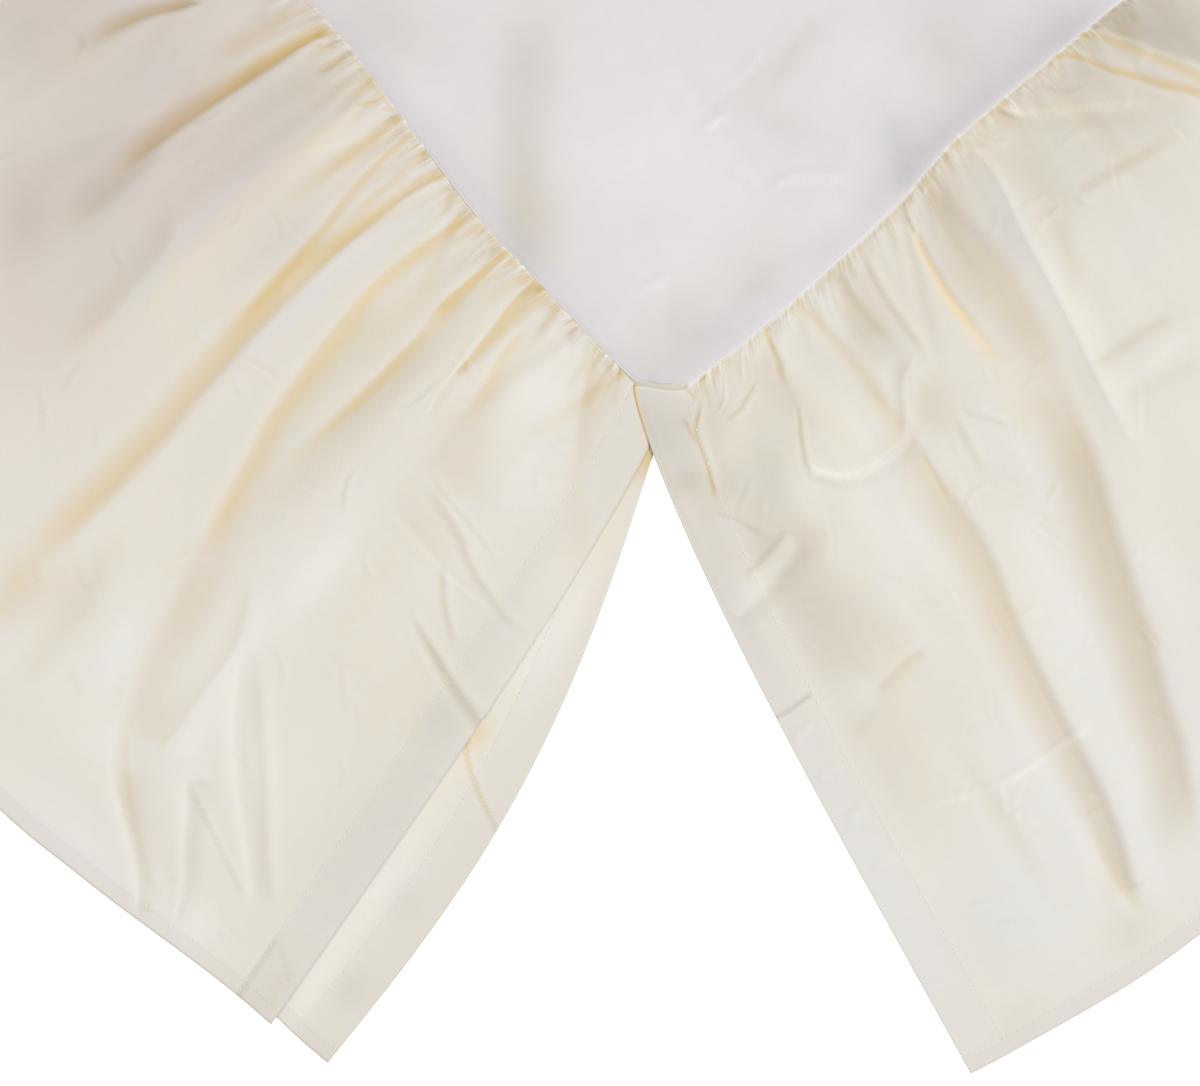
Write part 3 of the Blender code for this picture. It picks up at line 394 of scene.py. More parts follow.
FOOT_BLOTCHES = (
    (-6, 6, 18, 26, 12, 0.0, 0.12),
    (66, 30, 7, 24, 0, -0.12, -0.02),
    (18, 17, 12, 12, 0, 0.03, 0.045),
    (-28, 69, 8, 18, 14, 0.05, 0.02),
    (97, 88, 18, 12, 0, 0.04, 0.03),
    (146, 82, 16, 20, 0, 0.04, 0.03),
    (124, 109, 14, 14, 0, 0.12, 0.015),
    (167, 5, 14, 12, 0, 0.08, 0.03),
    (117, 9, 18, 12, 0, 0.02, 0.035),
    (269, 49, 20, 20, 0, 0.0, 0.03),
    (126, 158, 14, 24, 0, 0.04, 0.03),
    (104, 186, 16, 24, 0, 0.0, 0.02),
    (92, 250, 18, 50, 20, 0.0, 0.025),
    (5, 190, 16, 20, 0, 0.0, 0.02),
    (46, 26, 6, 14, 0, 0.05, 0.03),
    (98, 76, 12, 8, -20, 0.12, 0.04),
    (107, 32, 9, 30, 0, 0.14, 0.02),
    (154, 52, 11, 40, 8, 0.18, 0.02),
    (195, 22, 6, 16, 0, 0.16, 0.02),
    (257, 3, 3, 4, 0, 0.5, 0.0),
    (0, 47, 12, 7, -10, 0.15, 0.06),
    (-24, 173, 12, 3, 0, 0.10, 0.03),
    (10, 138, 7, 24, 0, 0.05, 0.03),
    (24, 140, 6, 30, 0, -0.15, -0.02),
    (-36, 100, 8, 42, 14, -0.10, 0.06, 0.05),
    (-52, 170, 9, 34, 14, -0.15, 0.02),
    (22, 54, 24, 28, 0, 0.0, -0.005, -0.1),
    (13, 91, 8, 8, 0, 0.25, 0.08),
    (58, 44, 14, 24, 0, 0.20, 0.0),
    (60, 94, 20, 7, 0, -0.25, 0.02),
    (98, 28, 12, 30, 0, -0.10, 0.02, -0.1),
    (2, 130, 20, 34, 0, 0.08, 0.05),
    (44, 128, 20, 30, 0, -0.15, 0.0),
    (112, 116, 16, 34, 0, -0.20, 0.01),
    (152, 46, 12, 42, 0, 0.12, 0.06),
    (176, 34, 9, 34, 0, -0.08, 0.06),
    (208, 30, 12, 30, 0, 0.06, 0.03, -0.1),
    (188, 80, 10, 18, 0, 0.05, 0.01),
    (266, 4, 8, 8, 0, -0.1, 0.06),
    (222, 88, 24, 20, 0, -0.15, 0.01),
    (243, 12, 20, 10, 28, 0.10, 0.07),
    (44, 112, 14, 34, 0, -0.10, -0.03),
    (114, 122, 12, 34, 8, -0.10, -0.025, 0.1),
    (90, 165, 10, 40, 14, -0.10, -0.03, 0.1),
    (171, 50, 6, 44, -12, -0.10, 0.0, 0.25),
    (192, 58, 10, 14, 0, 0.10, 0.02, -0.05),
    (203, 34, 7, 26, 0, 0.12, 0.05, -0.1),
    (-12, 34, 9, 7, 30, 0.25, 0.085, -0.1),
    (5, 12, 6, 8, 0, 0.15, 0.03, 0.05),
    (-17, 50, 9, 10, 14, 0.05, 0.035),
    (-42, 118, 9, 26, 14, 0.0, 0.0, 0.16),
    (-20, 160, 14, 16, 0, -0.1, -0.03),
    (70, 92, 7, 12, 0, 0.25, 0.02),
    (62, 52, 8, 20, 0, -0.08, -0.025),
    (126, 100, 6, 26, 8, 0.12, -0.02),
    (36, 252, 8, 40, 16, -0.05, 0.025),
    (168, 12, 13, 14, 0, 0.22, 0.06),
    (255, 8, 6, 8, 0, 0.1, 0.1),
    (278, 9, 8, 12, 0, 0.2, 0.07),
    (269, 24, 4, 8, 0, 0.1, -0.08),
    (50, 302, 10, 16, 16, 0.25, 0.03),
    (98, 130, 12, 20, 10, 0.1, 0.04),
    (-14, 160, 8, 9, 0, -0.12, -0.04),
    (-19, 68, 7, 13, 0, 0.05, 0.045),
    (97, 37, 12, 12, 10, 0.2, 0.045),
    (-42, 244, 16, 26, 14, -0.08, -0.025),
    (-14, 90, 22, 4, -3, -0.1, -0.065),
    (60, 64, 15, 20, 0, 0.0, -0.025, -0.1),
    (298, 10, 22, 30, 0, 0.0, 0.10),
    (262, 20, 40, 30, 20, 0.12, 0.05),
    (250, 40, 60, 70, 0, 0.0, 0.035),
    (190, 122, 26, 8, 4, 0.0, 0.05),
    (195, 134, 26, 5, 6, -0.15, -0.02),
    (194, 150, 24, 7, 6, 0.0, 0.03),
    (-18, 200, 18, 50, 12, 0.10, -0.02),
    (97, 86, 12, 14, 0, 0.20, 0.03),
    (150, 132, 16, 30, 16, 0.0, 0.03),
    (246, 76, 30, 40, 0, 0.0, 0.02),
    (76, 200, 14, 50, 16, -0.20, -0.01),
    (20, 230, 12, 50, 8, -0.15, -0.01),
    (124, 210, 16, 26, 20, -0.20, 0.0),
    (5, 328, 12, 10, 0, 0.15, 0.06),
    (34, 268, 8, 20, 22, 0.05, 0.03),
    (-68, 235, 12, 60, 14, -0.2, -0.01),
    (-30, 280, 26, 40, 10, -0.25, 0.02),
    (70, 290, 120, 60, 0, -0.26, 0.0),
    (150, 270, 60, 90, 0, -0.04, 0.03),
    (-8, 60, 9, 60, 0, 0.0, 0.03),
    (-60, 324, 14, 6, 0, 0.05, 0.04),
    (50, 300, 20, 24, 20, -0.1, 0.0),
)
UNDERLAY_BLOTCHES = (
    (-14, 18, 8, 10, 0, 1.5, 0.06),
    (-30, 60, 4, 34, 28, 0.15, -0.02),
    (-48, 115, 8, 30, 24, -0.2, -0.02),
    (-93, 292, 8, 30, 14, -0.1, -0.03),
    (-56, 165, 6, 8, 0, 1.0, 0.0),
    (-108, 286, 8, 10, 0, 0.0, 0.06),
    (-95, 241, 8, 9, 0, 0.0, 0.05),
    (-106, 196, 6, 10, 0, 0.0, 0.04),
    (-25, 60, 20, 70, 20, 0.0, -0.04),
    (-44, 98, 10, 26, 20, 0.0, -0.035),
    (-84, 240, 8, 26, 15, -0.2, 0.0),
    (-40, 110, 20, 70, 20, 0.0, -0.04),
    (-80, 230, 20, 90, 15, 0.0, -0.04),
    (-62, 190, 5, 20, 14, 0.10, -0.03),
    (-80, 250, 7, 50, 15, 0.0, -0.05),
    (-98, 305, 8, 20, 12, 0.0, -0.04),
)
DECK_BLOTCHES = (
    (24, 24, 28, 15, 15, 0.4, 0.03, 0.08),
    (40, 12, 40, 10, 0, 0.0, 0.05),
    (50, 7, 40, 6, 0, -0.15, 0.02),
    (110, 11, 90, 7, 0, 0.0, 0.035),
    (190, 20, 30, 12, 0, 0.05, 0.03),
    (73, 15, 13, 4, 0, 0.3, 0.015, 0.1),
    (8, 102, 10, 22, -35, 0.35, 0.03),
    (26, 124, 18, 34, -30, 0.52, 0.045, -0.05),
    (64, 162, 16, 26, -40, 0.35, 0.045, -0.1),
    (18, 104, 12, 22, -20, 0.3, 0.03),
    (166, 24, 12, 16, 0, -0.4, 0.09),
    (190, 5, 60, 11, 0, -0.12, 0.07, 0.05),
    (250, 15, 50, 16, 0, -0.1, 0.13),
    (170, 12, 28, 9, 0, -0.1, 0.06, 0.05),
    (54, 44, 20, 16, 0, -0.1, -0.045),
    (106, 6, 7, 8, 0, -0.3, 0.05),
    (146, 86, 26, 9, 8, 0.25, 0.04, -0.1),
    (212, 38, 12, 18, 0, 0.2, 0.045),
    (3, 150, 7, 70, 0, -0.2, 0.05, 0.05),
    (16, 182, 14, 22, 0, -0.2, -0.01, 0.1),
    (60, 100, 20, 40, 30, -0.1, -0.04),
    (92, 84, 20, 60, 0, -0.1, -0.03),
    (126, 16, 14, 14, 0, 0.0, -0.03),
    (20, 225, 20, 30, 20, 0.3, 0.07),
    (235, 60, 40, 30, 40, 0.05, 0.07),
    (180, 60, 16, 12, 0, -0.1, -0.02),
    (132, 62, 10, 20, 20, 0.2, 0.04, -0.1),
    (80, 24, 16, 12, 0, 0.15, 0.02, 0.1),
    (262, 9, 18, 9, 0, 0.05, 0.06),
    (37, 15, 9, 8, 0, 0.0, 0.04),
)

IVORY = (0.606, 0.579, 0.527)
YELLOW = (0.600, 0.505, 0.352)      # painted warm shade and glow: what one unit of "warm" makes of ivory
TURNED = (0.598, 0.572, 0.530)      # ivory on two or three plies
WHITE = (0.597, 0.574, 0.584)
CREAM = (0.568, 0.532, 0.495)       # painted warm shade and glow: what one unit of "warm" makes of white
ROSE = (0.600, 0.515, 0.490)        # what one unit of "rosy" makes of either
THREAD = (0.76, 0.745, 0.72)


def ease(value, low, high):
    """A soft step from 0 at low to 1 at high: 3w^2 - 2w^3."""
    share = np.clip((value - low) / (high - low), 0.0, 1.0)
    return share * share * (3.0 - 2.0 * share)


def through_knots(places, knots, column):
    """A cubic through the column's values at the knots that never overshoots between them."""
    knots, column = np.asarray(knots, float), np.asarray(column, float)
    run = np.diff(knots)
    slope = np.diff(column) / run
    product = slope[:-1] * slope[1:]
    inner = np.where(product > 0, 2 * product / np.where(product > 0, slope[:-1] + slope[1:], 1.0), 0.0)
    tangent = np.concatenate(([slope[0]], inner, [slope[-1]]))
    k = np.clip(np.searchsorted(knots, places, side="right") - 1, 0, len(run) - 1)
    w = (places - knots[k]) / run[k]
    start = (1 + 2 * w) * (1 - w) ** 2 * column[k] + w * (1 - w) ** 2 * run[k] * tangent[k]
    end = w * w * (3 - 2 * w) * column[k + 1] + w * w * (w - 1) * run[k] * tangent[k + 1]
    return start + end


def spread(*stretches):
    """Places in a row. Each stretch is (first, last, pitch), in a whole number of the underside's steps."""
    places = [
        np.linspace(first, last, COARSE * max(1, round((last - first) / pitch / COARSE)), endpoint=False)
        for first, last, pitch in stretches
    ]
    return np.concatenate(places + [[float(stretches[-1][1])]])


def with_mirror_image(ribs, middle):
    """A rib table run on past the middle of its seam as its own mirror image."""
    whole = {}
    for column, values in ribs.items():
        turned = values[-2::-1]
        if column == "bend":
            turned = [-value for value in turned]
        elif column.endswith("along"):
            turned = [2 * middle - value for value in turned]
        whole[column] = [*values, *turned]
    return whole


class Cloth:
    """A sheet being shaped: a grid of ribs by rows, with its plan, height and tone: painted shade and light
    with warm and rosy tints, and its plies.

    A point is seam + (hem - seam) v, moved along the seam by bend sin(pi v^bent_at), where v is its share of
    the drop. Rows above the seam reach under the deck, square to it, and turn to the cut corner's slant at an
    end.
    """

    def __init__(self, ribs, places, down, bent_at=0.6, both_ends=False):
        column = {name: through_knots(places, ribs["seam_along"], ribs[name])[:, None] for name in ribs}
        v = np.clip(down, 0.0, None)[None, :] / DROP
        inward = np.clip(-down, 0.0, None)[None, :]
        slant = 1.0 - ease(column["seam_along"], places[0], places[0] + 30.0)
        if both_ends:
            slant = slant - ease(column["seam_along"], places[-1] - 30.0, places[-1])
        length = np.hypot(slant, 1.0)
        self.along = column["seam_along"] + (column["hem_along"] - column["seam_along"]) * v
        self.along = self.along + column["bend"] * np.sin(np.pi * v**bent_at) + inward * slant / length
        self.out = column["seam_out"] + (column["hem_out"] - column["seam_out"]) * v - inward / length
        self.places = places[:, None]
        self.down = down[None, :]
        self.height, self.lift = np.zeros((2, *self.along.shape))
        self.warm, self.shade, self.rosy, self.ply = np.zeros((4, *self.along.shape))

    def fold(
        self, along, out, trough, trough_end, edge, edge_end, crest, dip, warm, shade, fade_in, fade_out
    ):
        """One fold, with painted warm shade and shade in its trough and a painted highlight on its crest.

        With s the distance behind its line and w the width of its trough, the cloth rises by crest exp(-u^2),
        where u is (s + w/2) over 0.8 w, and drops by dip times a soft step at the line that ends at 2 w.
        """
        knots = np.concatenate(([0.0], np.cumsum(np.hypot(np.diff(along), np.diff(out)))))
        steps = np.linspace(0.0, knots[-1], 6 * len(knots))
        line = np.stack([through_knots(steps, knots, places) for places in (along, out)], axis=-1)
        reach = 2.2 * max(abs(trough), abs(trough_end)) + 2.0 * max(edge, edge_end)
        low, high = line.min(axis=0) - reach, line.max(axis=0) + reach
        near = (self.along > low[0]) & (self.along < high[0]) & (self.out > low[1]) & (self.out < high[1])
        point = np.stack((self.along[near], self.out[near]), axis=-1)[:, None, :]
        start, step = line[None, :-1], np.diff(line, axis=0)[None]
        share = np.clip(((point - start) * step).sum(-1) / (step**2).sum(-1), 0.0, 1.0)
        away = point - start - share[..., None] * step
        distance = np.hypot(away[..., 0], away[..., 1])
        nearest = distance.argmin(axis=1)[:, None]
        cross = step[..., 1] * away[..., 0] - step[..., 0] * away[..., 1]
        side = np.sign(np.take_along_axis(cross, nearest, 1)[:, 0]) * np.sign(trough)
        s = side * np.take_along_axis(distance, nearest, 1)[:, 0]
        share = (nearest[:, 0] + np.take_along_axis(share, nearest, 1)[:, 0]) / step.shape[1]
        width = abs(trough) + (abs(trough_end) - abs(trough)) * share
        soft = edge + (edge_end - edge) * share
        shown = 1.0
        if fade_in:
            shown = shown * ease(share, 0.0, fade_in)
        if fade_out:
            shown = shown * (1.0 - ease(share, 1.0 - fade_out, 1.0))
        sunk = ease(s, -soft - 0.8, soft + 1.2) * (1.0 - ease(s, 0.3 * width, 2.0 * width))
        tone = ease(s, -soft, soft) * (1.0 - ease(s, 0.4 * width, 1.6 * width))
        rise = np.exp(-(((s + 0.5 * width) / (0.8 * width)) ** 2))
        # painted warm shade and shade fill the trough, and CREST_LIGHT paints the crest paler
        self.height[near] += shown * (crest * rise - dip * sunk)
        self.warm[near] += shown * warm * tone
        self.shade[near] += shown * (shade * tone - CREST_LIGHT * crest * rise)

    def blotch(self, along, out, reach, across, turn, warm, shade, rosy=0.0):
        """A soft blotch of painted shade and light: exp(-(a^2 + b^2)), where a and b are the distances over
        the half widths.
        """
        turn = np.radians(turn)
        x, y = self.along - along, self.out - out
        a = (x * np.cos(turn) + y * np.sin(turn)) / reach
        b = (y * np.cos(turn) - x * np.sin(turn)) / across
        tone = np.exp(-(a * a + b * b))
        self.warm += warm * tone
        self.shade += shade * tone
        self.rosy += rosy * tone

    def lay(self, folds=(), blotches=()):
        """Lays the folds of one table and the blotches of another."""
        for fold in folds:
            self.fold(*fold)
        for blotch in blotches:
            self.blotch(*blotch)

    def gather(self, rng, first, last, pitch, depth, reach, tone):
        """Short valleys that run out of the seam, at random places, leans, widths and lengths.

        Each takes depth exp(-(x/w)^2) off the cloth, where x is the distance from its leaning line, and fades
        out over its length.
        """
        count = round((last - first) / pitch)
        for k in range(count):
            centre = first + pitch * (k + rng.uniform(0.1, 0.9))
            length = reach * rng.uniform(0.35, 1.0) ** 1.6
            lean = rng.normal(0.0, 0.2) * length
            width = pitch * rng.uniform(0.14, 0.26) + 0.2
            deep = depth * rng.uniform(0.4, 1.0)
            warm = tone * rng.uniform(0.0, 0.7)
            shade = tone * rng.uniform(0.02, 0.08)
            low, high = np.searchsorted(self.places[:, 0], (centre - 3 * pitch, centre + 3 * pitch))
            ribs, rows = slice(low, high), slice(0, np.searchsorted(self.down[0], length))
            down = np.clip(self.down[:, rows], 0.0, None)
            x = self.places[ribs] - centre - lean * down / length
            valley = np.exp(-((x / (width * (1 + down / length))) ** 2))
            valley = valley * (1.0 - ease(down, 0.25 * length, length))
            valley = valley * (self.down[:, rows] >= 0)
            self.height[ribs, rows] -= deep * valley
            # painted warm shade and shade in each valley
            self.warm[ribs, rows] += warm * valley
            self.shade[ribs, rows] += shade * valley

    def surface(self):
        """Height of the underside: the folds, softly held above what the sheet lies on, and the lift."""
        above = 0.5 * (self.height + np.sqrt(self.height**2 + 0.25))
        return self.lift + np.where(self.down < 0, 0.0, above)


def repeated_valleys(first, last, pitch, turn):
    """Folds where a drop runs on plainly: place, reach, width and drift vary as sines of their count."""
    rows = []
    for k in range(round((last - first) / pitch)):
        along = first + pitch * (k + 0.28 * np.sin(2.3 * k + turn))
        reach = 210.0 + 90.0 * np.sin(1.7 * k + 2 * turn)
        drift = 12.0 * np.sin(0.9 * k + turn)
        width = 8.0 + 3.0 * np.sin(3.1 * k + turn)
        deep = 0.75 + 0.2 * np.sin(1.3 * k + turn)
        side = 1 if k % 3 else -1
        softer = abs(np.sin(1.1 * k))
        # painted warm shade and shade in each valley, more where it is deeper
        warm = 1.5 * deep * abs(np.sin(0.8 * k + turn))
        rows.append((
            (along, along + 5.0 + 0.8 * drift, along + 12.0 + drift, along + 18.0 + drift),
            (2.0, 0.3 * reach, 0.65 * reach, reach), 0.6 * width * side, 1.4 * width * side,
            1.4 + softer, 3.5 + softer, 0.7, 3.0 * deep, warm, 0.05 * deep, 0.0, 0.5,
        ))
    return rows


def repeated_creases(rng, first, last, pitch):
    """Faint crossing creases where a drop runs on plainly, at random places, leans and lengths."""
    rows = []
    for k in range(round((last - first) / pitch)):
        along = first + pitch * (k + rng.uniform())
        out = rng.uniform(60.0, 320.0)
        lean, half = rng.uniform(-0.5, 0.9), rng.uniform(10.0, 30.0)
        sag = rng.normal(0.0, 3.0)
        rows.append((
            (along - half, along, along + half), (out - lean * half, out + sag, out + lean * half),
            2.2, 1.6, 1.0, 1.2, 0.4, 0.5, rng.uniform(0.0, 0.3), 0.04, 0.3, 0.3,
        ))
    return rows


def faint_creases(rng, first, last, count):
    """Faint crinkles of pressed cotton, at random places, leans and lengths."""
    rows = []
    for along, out, turn, half, bow, deep, warm in rng.uniform(size=(count, 7)):
        along, out = first + (last - first) * along - 60 * out, 30 + 300 * out
        lean, half = np.radians(180 * turn), 4 + 12 * half
        step = np.array((np.cos(lean), np.sin(lean))) * half
        bow = (bow - 0.5) * 0.5 * step[::-1]
        crest, dip = 0.15 + 0.3 * deep, 0.1 + 0.3 * deep
        rows.append((
            (along - step[0], along + bow[0], along + step[0]), (out - step[1], out - bow[1], out + step[1]),
            1.8, 1.8, 0.9, 1.2, crest, dip, 0.25 * warm, 0.01 + 0.025 * deep, 0.4, 0.4,
        ))
    return rows


HEADING_ROWS = (-ALLOWANCE, 0, 3.0)
HEM_ROWS = (DROP - 16, DROP, 1.4)
DROP_ROWS = spread(
    HEADING_ROWS, (0, 2.4, 0.6), (2.4, 20, 1.25), (20, 100, 1.8), (100, 172, 1.4), (172, DROP - 16, 2.0),
    HEM_ROWS,
)
PLAIN_DROP_ROWS = spread(HEADING_ROWS, (0, 24, 2.0), (24, DROP - 16, 4.0), HEM_ROWS)
UNDERLAY_ROWS = spread(HEADING_ROWS, (0, DROP - 16, 1.6), HEM_ROWS)


def standing(cloth, open_to_ends):
    """The gathered cloth's puff: it rises out of the seam, is fullest a quarter down, and dies at the hem."""
    v = cloth.down / DROP
    # Painted light just out of the seam, paler and less warm, over the shadow of the deck's edge.
    seam_light = ease(cloth.down, -0.5, 0.0) * (1.0 - ease(cloth.down, 0.3, 1.2))
    cloth.shade -= 0.12 * seam_light
    cloth.warm -= 0.2 * seam_light
    puff = PUFF * ease(cloth.down, 3.0, 70.0) * (1.0 - 0.85 * ease(v, 0.2, 0.85))
    cloth.height += (ease(cloth.down, 0.0, 3.0) + puff) * open_to_ends * (1.0 - ease(v, 0.86, 0.97))


def hemmed(cloth, band, darker):
    """Turned hems: the bottom one, and the end band, whose plies show greyer and stand a turning higher."""
    bottom = ease(cloth.down, DROP - HEM - 0.8, DROP - HEM + 0.8)
    turned = np.maximum(bottom, band)
    cloth.height += TURNING * turned
    cloth.ply += turned
    cloth.shade += 0.035 * bottom + darker * band


def side_drop(folds, seed, places, down, plain_from):
    """A side drop, over its corner's underlay."""
    cloth = Cloth(SIDE_RIBS, places, down)
    by_rib = cloth.places
    from_corner = np.hypot(cloth.along, cloth.out)
    ends = ease(by_rib, 17, 55) * (1.0 - ease(by_rib, 1850, 1888)) * ease(from_corner, 30, 85)
    cloth.lift += np.interp(by_rib, *SIDE_LIFT)
    met = np.interp(by_rib, *SEAM_GAP) * ease(cloth.down, -3.0, 0.0)
    cloth.lift += met * (1.0 - ease(cloth.down, 4.0, 40.0))
    standing(cloth, ends)
    rng = np.random.default_rng(seed)
    for gathers in SIDE_GATHERS:
        cloth.gather(rng, *gathers)
    cloth.lay(folds + repeated_creases(rng, plain_from, 1840, 38) + faint_creases(rng, 0, LAID, 60))
    # A painted warm shadow line along the drop's end by the corner.
    cloth.warm += 0.8 * (1.0 - ease(by_rib, 5.0, 5.9)) * (1.0 - ease(cloth.down, 60.0, 120.0))
    cloth.lift -= 0.3 * (1.0 - ease(by_rib, 5.0, 7.2))
    by_corner = ease(SIDE_BANDS[0] - by_rib, 0.0, 0.6)
    at_head = ease(by_rib, SIDE_BANDS[1], SIDE_BANDS[1] + 0.6)
    hemmed(cloth, np.maximum(by_corner, at_head), 0.02)
    cloth.stitched = SIDE_BAND_STITCHES
    return cloth


def foot_drop(folds, seed, places, down):
    """The foot drop, which lies over the side drops' ends at both corners."""
    cloth = Cloth(with_mirror_image(FOOT_RIBS, DECK_WIDTH / 2), places, down, both_ends=True)
    from_end = np.minimum(cloth.places, DECK_WIDTH - cloth.places)
    from_corner = np.hypot(np.minimum(cloth.along, DECK_WIDTH - cloth.along), cloth.out)
    cloth.lift += np.interp(from_corner, *FOOT_LIFT)
    standing(cloth, ease(from_end, 17.5, 50) * ease(from_corner, 25, 75))
    rng = np.random.default_rng(seed)
    for gathers in FOOT_GATHERS:
        cloth.gather(rng, *gathers)
    cloth.lay(folds + repeated_creases(rng, LAID, 940, 34) + faint_creases(rng, 0, LAID, 90))
    # Painted lines near the seam: a warm, paler line on the turned edge over its real shadow, and a warm
    # shadow along the cut corner at the deck's edge.
    turned_edge = (1.0 - ease(from_end, -0.5, 0.6)) * (1.0 - ease(cloth.down, 14.0, 30.0))
    cut_shadow = (1.0 - ease(from_end, 15.0, 19.0)) * ease(cloth.down, -0.5, 0.0)
    cut_shadow = cut_shadow * (1.0 - ease(cloth.down, 0.0, 0.5))
    cloth.warm += 1.4 * turned_edge + 0.6 * cut_shadow
    cloth.shade += 0.24 * cut_shadow - 0.12 * turned_edge
    cloth.lift -= np.minimum(cloth.lift, 0.33) * (1.0 - ease(from_end, 0.0, 2.2))
    hemmed(cloth, ease(FOOT_BAND - from_end, 0.0, 0.6), 0.0)
    cloth.stitched = (FOOT_BAND_STITCHES, DECK_WIDTH - FOOT_BAND_STITCHES)
    return cloth


def underlay():
    """The narrow ply behind a split corner, flat on the surface."""
    cloth = Cloth(UNDERLAY_RIBS, spread((5, 18, 0.8), (18, 110, 1.3)), UNDERLAY_ROWS, bent_at=1.0)
    cloth.lay(UNDERLAY_FOLDS, UNDERLAY_BLOTCHES)
    hemmed(cloth, ease(SIDE_BANDS[0] - cloth.places, 0.0, 0.6), 0.02)
    cloth.stitched = SIDE_BAND_STITCHES[:1]
    return cloth


class Deck(Cloth):
    """The deck, in the foot seam's frame turned over: "along" runs across the bed and "out" up to its head.

    Its edges ride over the headings, follow the seams' waves and turn down over the last millimetre. At a
    foot corner the outermost square of the grid is sheared until its corner point is the middle of the cut.
    """

    def __init__(self):
        near = spread((0, 1.6, 0.4), (1.6, 24, 1.6), (24, 214, 2.1), (214, LAID, 4.0))
        far = spread((0, 1.6, 0.4), (1.6, 24, 2.0), (24, LAID, 7.0))
        across = np.concatenate((near, spread((LAID, DECK_WIDTH - LAID, 9.0))[1:-1], DECK_WIDTH - far[::-1]))
        up = np.concatenate((near, spread((LAID, DECK_LENGTH, 10.0))[1:]))
        foot_ribs = with_mirror_image(FOOT_RIBS, DECK_WIDTH / 2)
        side_wave = through_knots(np.maximum(up, 5), SIDE_RIBS["seam_along"], SIDE_RIBS["seam_out"])
        foot_wave = through_knots(across, foot_ribs["seam_along"], foot_ribs["seam_out"])
        side_wave = side_wave * ease(up, 5, 30)
        foot_wave = foot_wave * ease(np.minimum(across, DECK_WIDTH - across), 5, 30)
        a, b = np.meshgrid(across, up, indexing="ij")
        from_side = np.minimum(a, DECK_WIDTH - a)
        square = np.clip(1 - from_side / CORNER_CUT, 0, None) * np.clip(1 - b / CORNER_CUT, 0, None)
        inward = np.where(a < DECK_WIDTH / 2, 1.0, -1.0)
        self.along = a - side_wave[None, :] * (1 - 2 * a / DECK_WIDTH) + inward * square * CORNER_CUT / 2
        self.out = b - foot_wave[:, None] * (1 - b / DECK_LENGTH) + square * CORNER_CUT / 2
        self.places, self.down = a, np.maximum(b, 0.0)
        by_side = (1.0 - ease(from_side, CORNER_CUT, 50)) * np.interp(b, *DECK_LIFT_BY_SIDE)
        by_foot = (1.0 - ease(b, CORNER_CUT, 50)) * np.interp(from_side, *DECK_LIFT_BY_FOOT)
        self.lift = np.maximum(by_side, by_foot)
        self.warm, self.shade, self.rosy, self.ply = np.zeros((4, *a.shape))
        from_edge = np.minimum(from_side, np.minimum(b, DECK_LENGTH - b))
        inside = ease(from_side, 50, 120) * ease(b, 50, 120) * (1.0 - ease(b, 1750, 1850))
        self.height = 2.0 * inside * ease(np.sin(a / 95.0) * np.sin(b / 140.0), 0.5, 1.0)
        self.rolled = 0.6 * (1.0 - ease(from_edge, 0.0, 2.0))
        # A painted highlight along the deck's turned-down edge.
        self.shade -= 0.06 * (1.0 - ease(from_edge, 0.2, 1.0))
        # Painted shade, less warm, in a band along the seams where the headings lie under the deck.
        from_seam = np.minimum(from_side, b)
        self.inside = ease(from_seam, 14.0, 34.0)
        self.shade += 0.05 * (1.0 - ease(from_seam, 5.0, 14.0)) * ease(from_seam, 0.4, 1.6)
        self.warm -= 0.25 * (1.0 - ease(from_seam, 5.0, 14.0))

    def surface(self):
        """Height of the underside."""
        return np.maximum(self.lift + self.height * self.inside - self.rolled, 0.0)


def placed(name, data):
    """A new object in the scene."""
    made = bpy.data.objects.new(name, data)
    bpy.context.scene.collection.objects.link(made)
    return made


def lowest_near(low):
    """The lowest height within a few points of each one, and a little less, but not below the surface."""
    for axis in (0, 1):
        low = np.minimum.reduce([np.roll(low, step, axis) for step in range(-COARSE, COARSE + 1)])
    return np.clip(low - 0.05, 0.0, None)


def quads(index):
    """The faces between the ribs and rows of a grid of points."""
    return np.stack((index[:-1, :-1], index[1:, :-1], index[1:, 1:], index[:-1, 1:]), axis=-1).reshape(-1, 4)


def rim_fans(fine, coarse):
    """Triangles that join the fine grid's rim to the coarse grid's under it.

    Over each coarse edge lie a few fine ones. The first half of them fan out of its first point and the rest
    out of its last, and one more triangle fills what is left between.
    """
    fans = []
    half = COARSE // 2
    rims = (
        (fine[:, 0], coarse[:, 0]), (fine[-1, :], coarse[-1, :]),
        (fine[::-1, -1], coarse[::-1, -1]), (fine[0, ::-1], coarse[0, ::-1]),
    )
    for above, below in rims:
        starts, ends = above[:-1].reshape(-1, COARSE), above[1:].reshape(-1, COARSE)
        anchor = np.where(np.arange(COARSE) < half, below[:-1, None], below[1:, None])
        fans.append(np.stack((ends, starts, anchor), axis=-1).reshape(-1, 3))
        fans.append(np.stack((below[:-1], below[1:], starts[:, half]), axis=-1))
    return np.concatenate(fans)


def faces_upwards(x, y):
    """Whether a grid's faces point up, by the turn from its ribs to its rows at its middle."""
    i, j = x.shape[0] // 2, x.shape[1] // 2
    over = x[i + 1, j] - x[i, j], y[i + 1, j] - y[i, j]
    beside = x[i, j + 1] - x[i, j], y[i, j + 1] - y[i, j]
    return over[0] * beside[1] > over[1] * beside[0]


